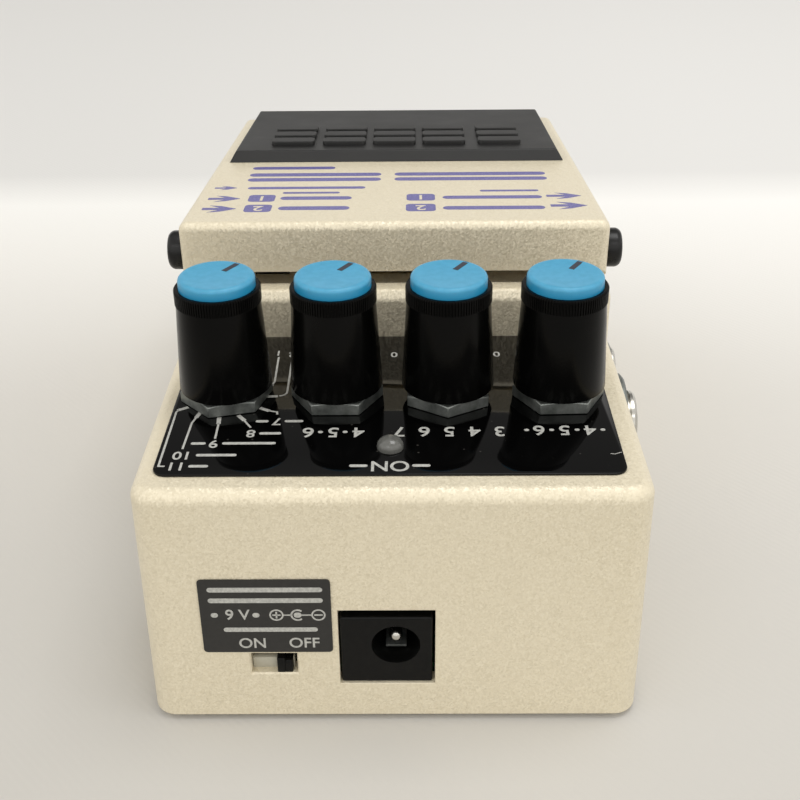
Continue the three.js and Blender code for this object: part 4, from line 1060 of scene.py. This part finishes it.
for text, x, z in (("ON", -19.9, 14.6), ("OFF", -12.6, 14.65), ("9 V", -21.7, POLARITY_Z)):
    add_digits(face_print, text, x, up_the_face(z), 1.75, FILM_INK * 2, turned_round=False)
for x0, x1, z0, z1 in (
    (-25.6, -9.7, 23.7, 24.5), (-25.6, -9.7, 21.85, 22.65), (-25.4, -24.4, 19.3, 20.1),
    (-19.6, -18.6, 19.3, 20.1), (-23.8, -10.6, 16.75, 17.5),
):
    add_band(face_print, x0, x1, up_the_face(z0), up_the_face(z1), FILM_INK)
put(face_print, FACE_PLACE @ Matrix.Translation((0, 0, FILM_TOP + 0.004)))
print_on_film = to_object("face_label_print", face_print, pale_ink)
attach(print_on_film, "housing")


# Jacks: five quarter-inch sockets in black nylon boxes, with nickel-plated threaded barrels, each
# held to the shell's side by a thin ring nut. The barrel's mouth is turned smooth.
JACK_PLACES = {
    "output_jack_1": (1, -27.95, 27.8),
    "output_jack_2": (1, -12.95, 27.8),
    "input_jack_1": (-1, -45.15, 20.5),
    "input_jack_2": (-1, -29.25, 20.5),
    "control_jack": (-1, -13.35, 20.5),
}
BOX_FRONT = 32.4
BOX_HALF_WIDTH = 6.3
BARREL_RADIUS = 4.8
BARREL_FOOT = 30.9
PLUG_RADIUS = 3.25
THREAD_ROOT = 4.42
THREAD_PITCH = 0.8
THREAD_FOOT = 35.7
RING_BORE = 4.92
for name, (side, y, z) in JACK_PLACES.items():
    low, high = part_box(name)
    inner, reach = sorted(1000 * abs(value) for value in (low[0], high[0]))
    onto_side = Matrix.Translation((0, y, z)) @ Matrix.Rotation(side * math.pi / 2, 4, "Y")
    box = block_between(
        (inner * side, BOX_FRONT * side), (y - BOX_HALF_WIDTH, y + BOX_HALF_WIDTH), (z - 4.2, z + 3.8),
    )
    bmesh.ops.recalc_face_normals(box, faces=box.faces)
    round_edges(box, edges_that(box, lambda e: e.calc_face_angle() > 1), 0.3, 2)
    bore = turned([(0, 11.2), (PLUG_RADIUS, 11.2), (PLUG_RADIUS, 40), (0, 40)], 32)
    put(bore, onto_side)
    socket_box = to_object(name + "_box", combined(box, bore, "DIFFERENCE"), nylon)
    threads = []
    turns = int((reach - 0.5 - THREAD_FOOT) / THREAD_PITCH)
    for k in range(turns + 1):
        foot = reach - 0.5 - THREAD_PITCH * (k + 1)
        threads = [
            (THREAD_ROOT, foot), (THREAD_ROOT, foot + 0.12), (BARREL_RADIUS, foot + 0.4),
            (BARREL_RADIUS, foot + 0.52), *threads,
        ]
    barrel = turned([
        (PLUG_RADIUS, BARREL_FOOT), (BARREL_RADIUS, BARREL_FOOT),
        (BARREL_RADIUS, reach - 0.6 - THREAD_PITCH * (turns + 1)), *threads, (BARREL_RADIUS, reach - 0.45),
        (BARREL_RADIUS - 0.4, reach), (PLUG_RADIUS + 0.4, reach), (PLUG_RADIUS, reach - 0.35),
        (PLUG_RADIUS, BARREL_FOOT),
    ], 48)
    put(barrel, onto_side)
    neck = to_object(name + "_barrel", barrel, bright_nickel, smooth_angle=24)
    low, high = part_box(name + "_nut")
    foot = 1000 * min(abs(low[0]), abs(high[0]))
    rim = 1000 * high[2] - z
    nut = turned([
        (RING_BORE, foot), (rim - 0.15, foot), (rim, foot + 0.15), (rim, foot + 0.55),
        (rim - 0.5, foot + 1.0), (RING_BORE + 0.2, foot + 1.0), (RING_BORE, foot + 0.8), (RING_BORE, foot),
    ], 64)
    put(nut, onto_side)
    ring_nut = to_object(name + "_ring_nut", nut, dull_zinc)
    for made, slot in (
        (socket_box, "plastic_black_matte"), (neck, "nickel_plated"), (ring_nut, "nickel_plated"),
    ):
        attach(made, "housing")
    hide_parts(name)
    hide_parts(name + "_nut")


# Inside: green circuit boards, the foot switch with its button and plunger, the battery connector
# and the guide of the thumbscrew. They show when the treadle is open.
solder_mask, tree, shader, place = start_material(
    "green_solder_mask", Roughness=0.35, Coat_Weight=0.4, Coat_Roughness=0.2,
)
tracks = add(tree, "ShaderNodeTexBrick", {
    "Vector": place, "Color1": colour(0x1B5A38), "Color2": colour(0x1F6440), "Mortar": colour(0x2F7C50),
    "Scale": 1.0, "Mortar Size": 0.4 * MILLIMETRE, "Brick Width": 6 * MILLIMETRE,
    "Row Height": 2 * MILLIMETRE,
})
tree.links.new(tracks.outputs["Color"], shader.inputs["Base Color"])
for node, finish in (
    ("main_board", solder_mask), ("control_board", solder_mask), ("switch_board", solder_mask),
    ("foot_switch", polycarbonate), ("foot_switch_button", ivory_plastic), ("switch_plunger", rubber),
    ("guide_bush", nylon), ("battery_snap", polycarbonate),
):
    give_finish(node, finish)


# Return spring: drawn steel wire wound in six turns, the first and the last closed, that stands on the deck
# and pushes the treadle up. The real spring shortens as the treadle goes down; this coil is drawn at one
# length.
WIRE_RADIUS = 0.44
COIL_RADIUS = 4.5
COIL_X = 23.2
COIL_Y = 31.05
COIL_FOOT_Z = 35.22
COIL_TURNS = 6
STEPS_IN_TURN = 24
CLOSED_PITCH = 0.95
OPEN_PITCH = 2.8
spring_steel, tree, shader, place = start_material("drawn_spring_steel", Metallic=1.0, Roughness=0.3)
draw_marks = add(tree, "ShaderNodeTexNoise", {"Vector": place, "Scale": per_metre(0.8333), "Detail": 3.0})
tint(tree, shader, draw_marks.outputs["Fac"], 0x8F9294, 0xB4B7B8)
coil = bmesh.new()
rings = []
for k in range(STEPS_IN_TURN * COIL_TURNS + 1):
    turns = k / STEPS_IN_TURN
    closed_turns = min(turns, 1) + max(turns - COIL_TURNS + 1, 0)
    middle_z = COIL_FOOT_Z + CLOSED_PITCH * closed_turns + OPEN_PITCH * (turns - closed_turns)
    turn = 2 * math.pi * turns
    ring = []
    for j in range(8):
        around = math.pi / 4 * j
        reach = COIL_RADIUS + WIRE_RADIUS * math.cos(around)
        ring.append(coil.verts.new((
            COIL_X + reach * math.cos(turn), COIL_Y + reach * math.sin(turn),
            middle_z + WIRE_RADIUS * math.sin(around),
        )))
    rings.append(ring)
for near, far in zip(rings, rings[1:]):
    for j in range(8):
        coil.faces.new((near[j], near[(j + 1) % 8], far[(j + 1) % 8], far[j]))
coil.faces.new(rings[0])
coil.faces.new(rings[-1])
bmesh.ops.recalc_face_normals(coil, faces=coil.faces)
spring = to_object("return_spring_coil", coil, spring_steel, smooth_angle=60)
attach(spring, "housing")
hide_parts("return_spring")
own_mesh(spring)


# Thumbscrew: a nickel-plated head with a coin slot and a coarse straight knurl, pressed on the
# screw's end. It is drawn backed out, as it stands when the treadle can open.
HEAD_RADIUS = 4.58
HEAD_PLACE = Matrix.Translation((0, 62.55, 42.8)) @ Matrix.Rotation(-math.pi / 2, 4, "X")
head, _ = knurled(HEAD_RADIUS, 0.22, 40, 0.02, ((2.7, 1.0), (0.35, 0.93), (0.28, 0.9)))
bmesh.ops.recalc_face_normals(head, faces=head.faces)
coin_slot = block_between((-5.0, 5.0), (-0.6, 0.6), (2.2, 4.5))
head = combined(head, coin_slot, "DIFFERENCE")
head = combined(head, turned([(0, -1), (1.52, -1), (1.52, 1.45), (0, 1.45)], 24), "DIFFERENCE")
put(head, HEAD_PLACE)
thumb = to_object("thumbscrew_knurled_head", head, bright_nickel, smooth_angle=20)
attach(thumb, "thumbscrew_grip")
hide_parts("thumbscrew_head")


# Floor: a soft white cloth laid over a table and up behind it. It is painted by its depth, so that the wall
# behind begins where the cloth turns up, and it keeps the pedal's shadow. Its tones also hold painted light:
# painted shade darkens the front, a painted highlight brightens the band where the cloth turns up, and
# painted light makes the right side paler.
def fill_ramp(ramp, tones):
    """Sets a ramp's tones, the first at 0 and the last at 1."""
    for spot, tone in tones:
        stop = ramp.elements.new(spot) if 0 < spot < 1 else ramp.elements[0 if spot == 0 else -1]
        stop.color = tone


cloth, tree, shader, place = start_material("plain_white_cloth", Roughness=0.9)
where = add(tree, "ShaderNodeSeparateXYZ", {"Vector": place})
from_front = add(tree, "ShaderNodeMapRange", {
    "Value": where.outputs["Y"], "From Min": -0.2, "From Max": 0.3,
})
# Painted light by depth: darker towards the front, brightest in a band where the cloth turns up, then the
# wall's own tone.
depth_tones_with_painted_light = add(tree, "ShaderNodeValToRGB", {"Fac": from_front.outputs[0]})
fill_ramp(depth_tones_with_painted_light.color_ramp, [(spot, colour(tone)) for spot, tone in (
    (0.0, 0xB9B6AF), (0.2, 0xBEBBB4), (0.45, 0xD3D0CA), (0.6, 0xE9E7E2),
    (0.67, 0xF0EFEB), (0.72, 0xDAD9D6), (1.0, 0xDBDAD7),
)])
# Painted light from the right: the cloth is mixed up to 12 percent towards white on the right side.
painted_light_from_right = add(tree, "ShaderNodeMapRange", {
    "Value": where.outputs["X"], "From Min": -0.1, "From Max": 0.1, "To Max": 0.12,
})
cloth_tone = add(tree, "ShaderNodeMix", {
    0: painted_light_from_right.outputs[0], 6: depth_tones_with_painted_light.outputs["Color"], 7: colour(0xFFFFFF),
}, data_type="RGBA")
tree.links.new(cloth_tone.outputs[2], shader.inputs["Base Color"])
threads_apart = per_metre(1.169) * math.pi / math.sqrt(50)
weave = add(tree, "ShaderNodeTexWave", {
    "Vector": place, "Scale": threads_apart, "Distortion": 1.0,
}, bands_direction="DIAGONAL")
relief(tree, shader, weave.outputs["Fac"], 0.15, 0.0001)
ground = bmesh.new()
bmesh.ops.create_grid(ground, x_segments=1, y_segments=1, size=4000)
floor = to_object("floor", ground, cloth)


# Light: a soft lamp overhead and to the right, two ceiling tubes in front, one on either side, and a
# pale room all round. Behind the pedal the room is darker half way up, so that the gloss plate
# mirrors a dark wall and stays black.
for name, spot, size, watts in (
    ("overhead", (0.19, 0.02, 0.8), (0.4, 0.4), 1.95),
    ("tube_left", (-0.3, -0.6, 0.65), (0.5, 0.12), 0.5),
    ("tube_right", (0.3, -0.6, 0.65), (0.5, 0.12), 0.5),
):
    light_data = bpy.data.lights.new(name, "AREA")
    light_data.shape = "RECTANGLE"
    light_data.size, light_data.size_y = size
    light_data.energy = watts
    light = bpy.data.objects.new(name, light_data)
    scene.collection.objects.link(light)
    light.matrix_world = Matrix.Translation(spot)

world = bpy.data.worlds.new("pale_room")
scene.world = world
world.use_nodes = True
sky = world.node_tree
background = sky.nodes["Background"]
direction = add(sky, "ShaderNodeTexCoord").outputs["Generated"]
towards = add(sky, "ShaderNodeSeparateXYZ", {"Vector": direction})
walls = []
for levels in (
    ((0.0, 0.6), (0.12, 0.8), (0.3, 1.3), (0.6, 1.1), (1.0, 0.8)),
    ((0.0, 0.9), (0.3, 0.85), (0.42, 0.22), (0.7, 0.3), (1.0, 0.75)),
):
    wall = add(sky, "ShaderNodeValToRGB", {"Fac": towards.outputs["Z"]})
    fill_ramp(wall.color_ramp, [(up, (level, level * 0.98, level * 0.95, 1.0)) for up, level in levels])
    walls.append(wall.outputs["Color"])
behind = add(sky, "ShaderNodeMapRange", {
    "Value": towards.outputs["Y"], "From Min": 0.2, "From Max": 0.6,
}, interpolation_type="SMOOTHSTEP")
room = add(sky, "ShaderNodeMix", {0: behind.outputs[0], 6: walls[0], 7: walls[1]}, data_type="RGBA")
sky.links.new(room.outputs[2], background.inputs["Color"])
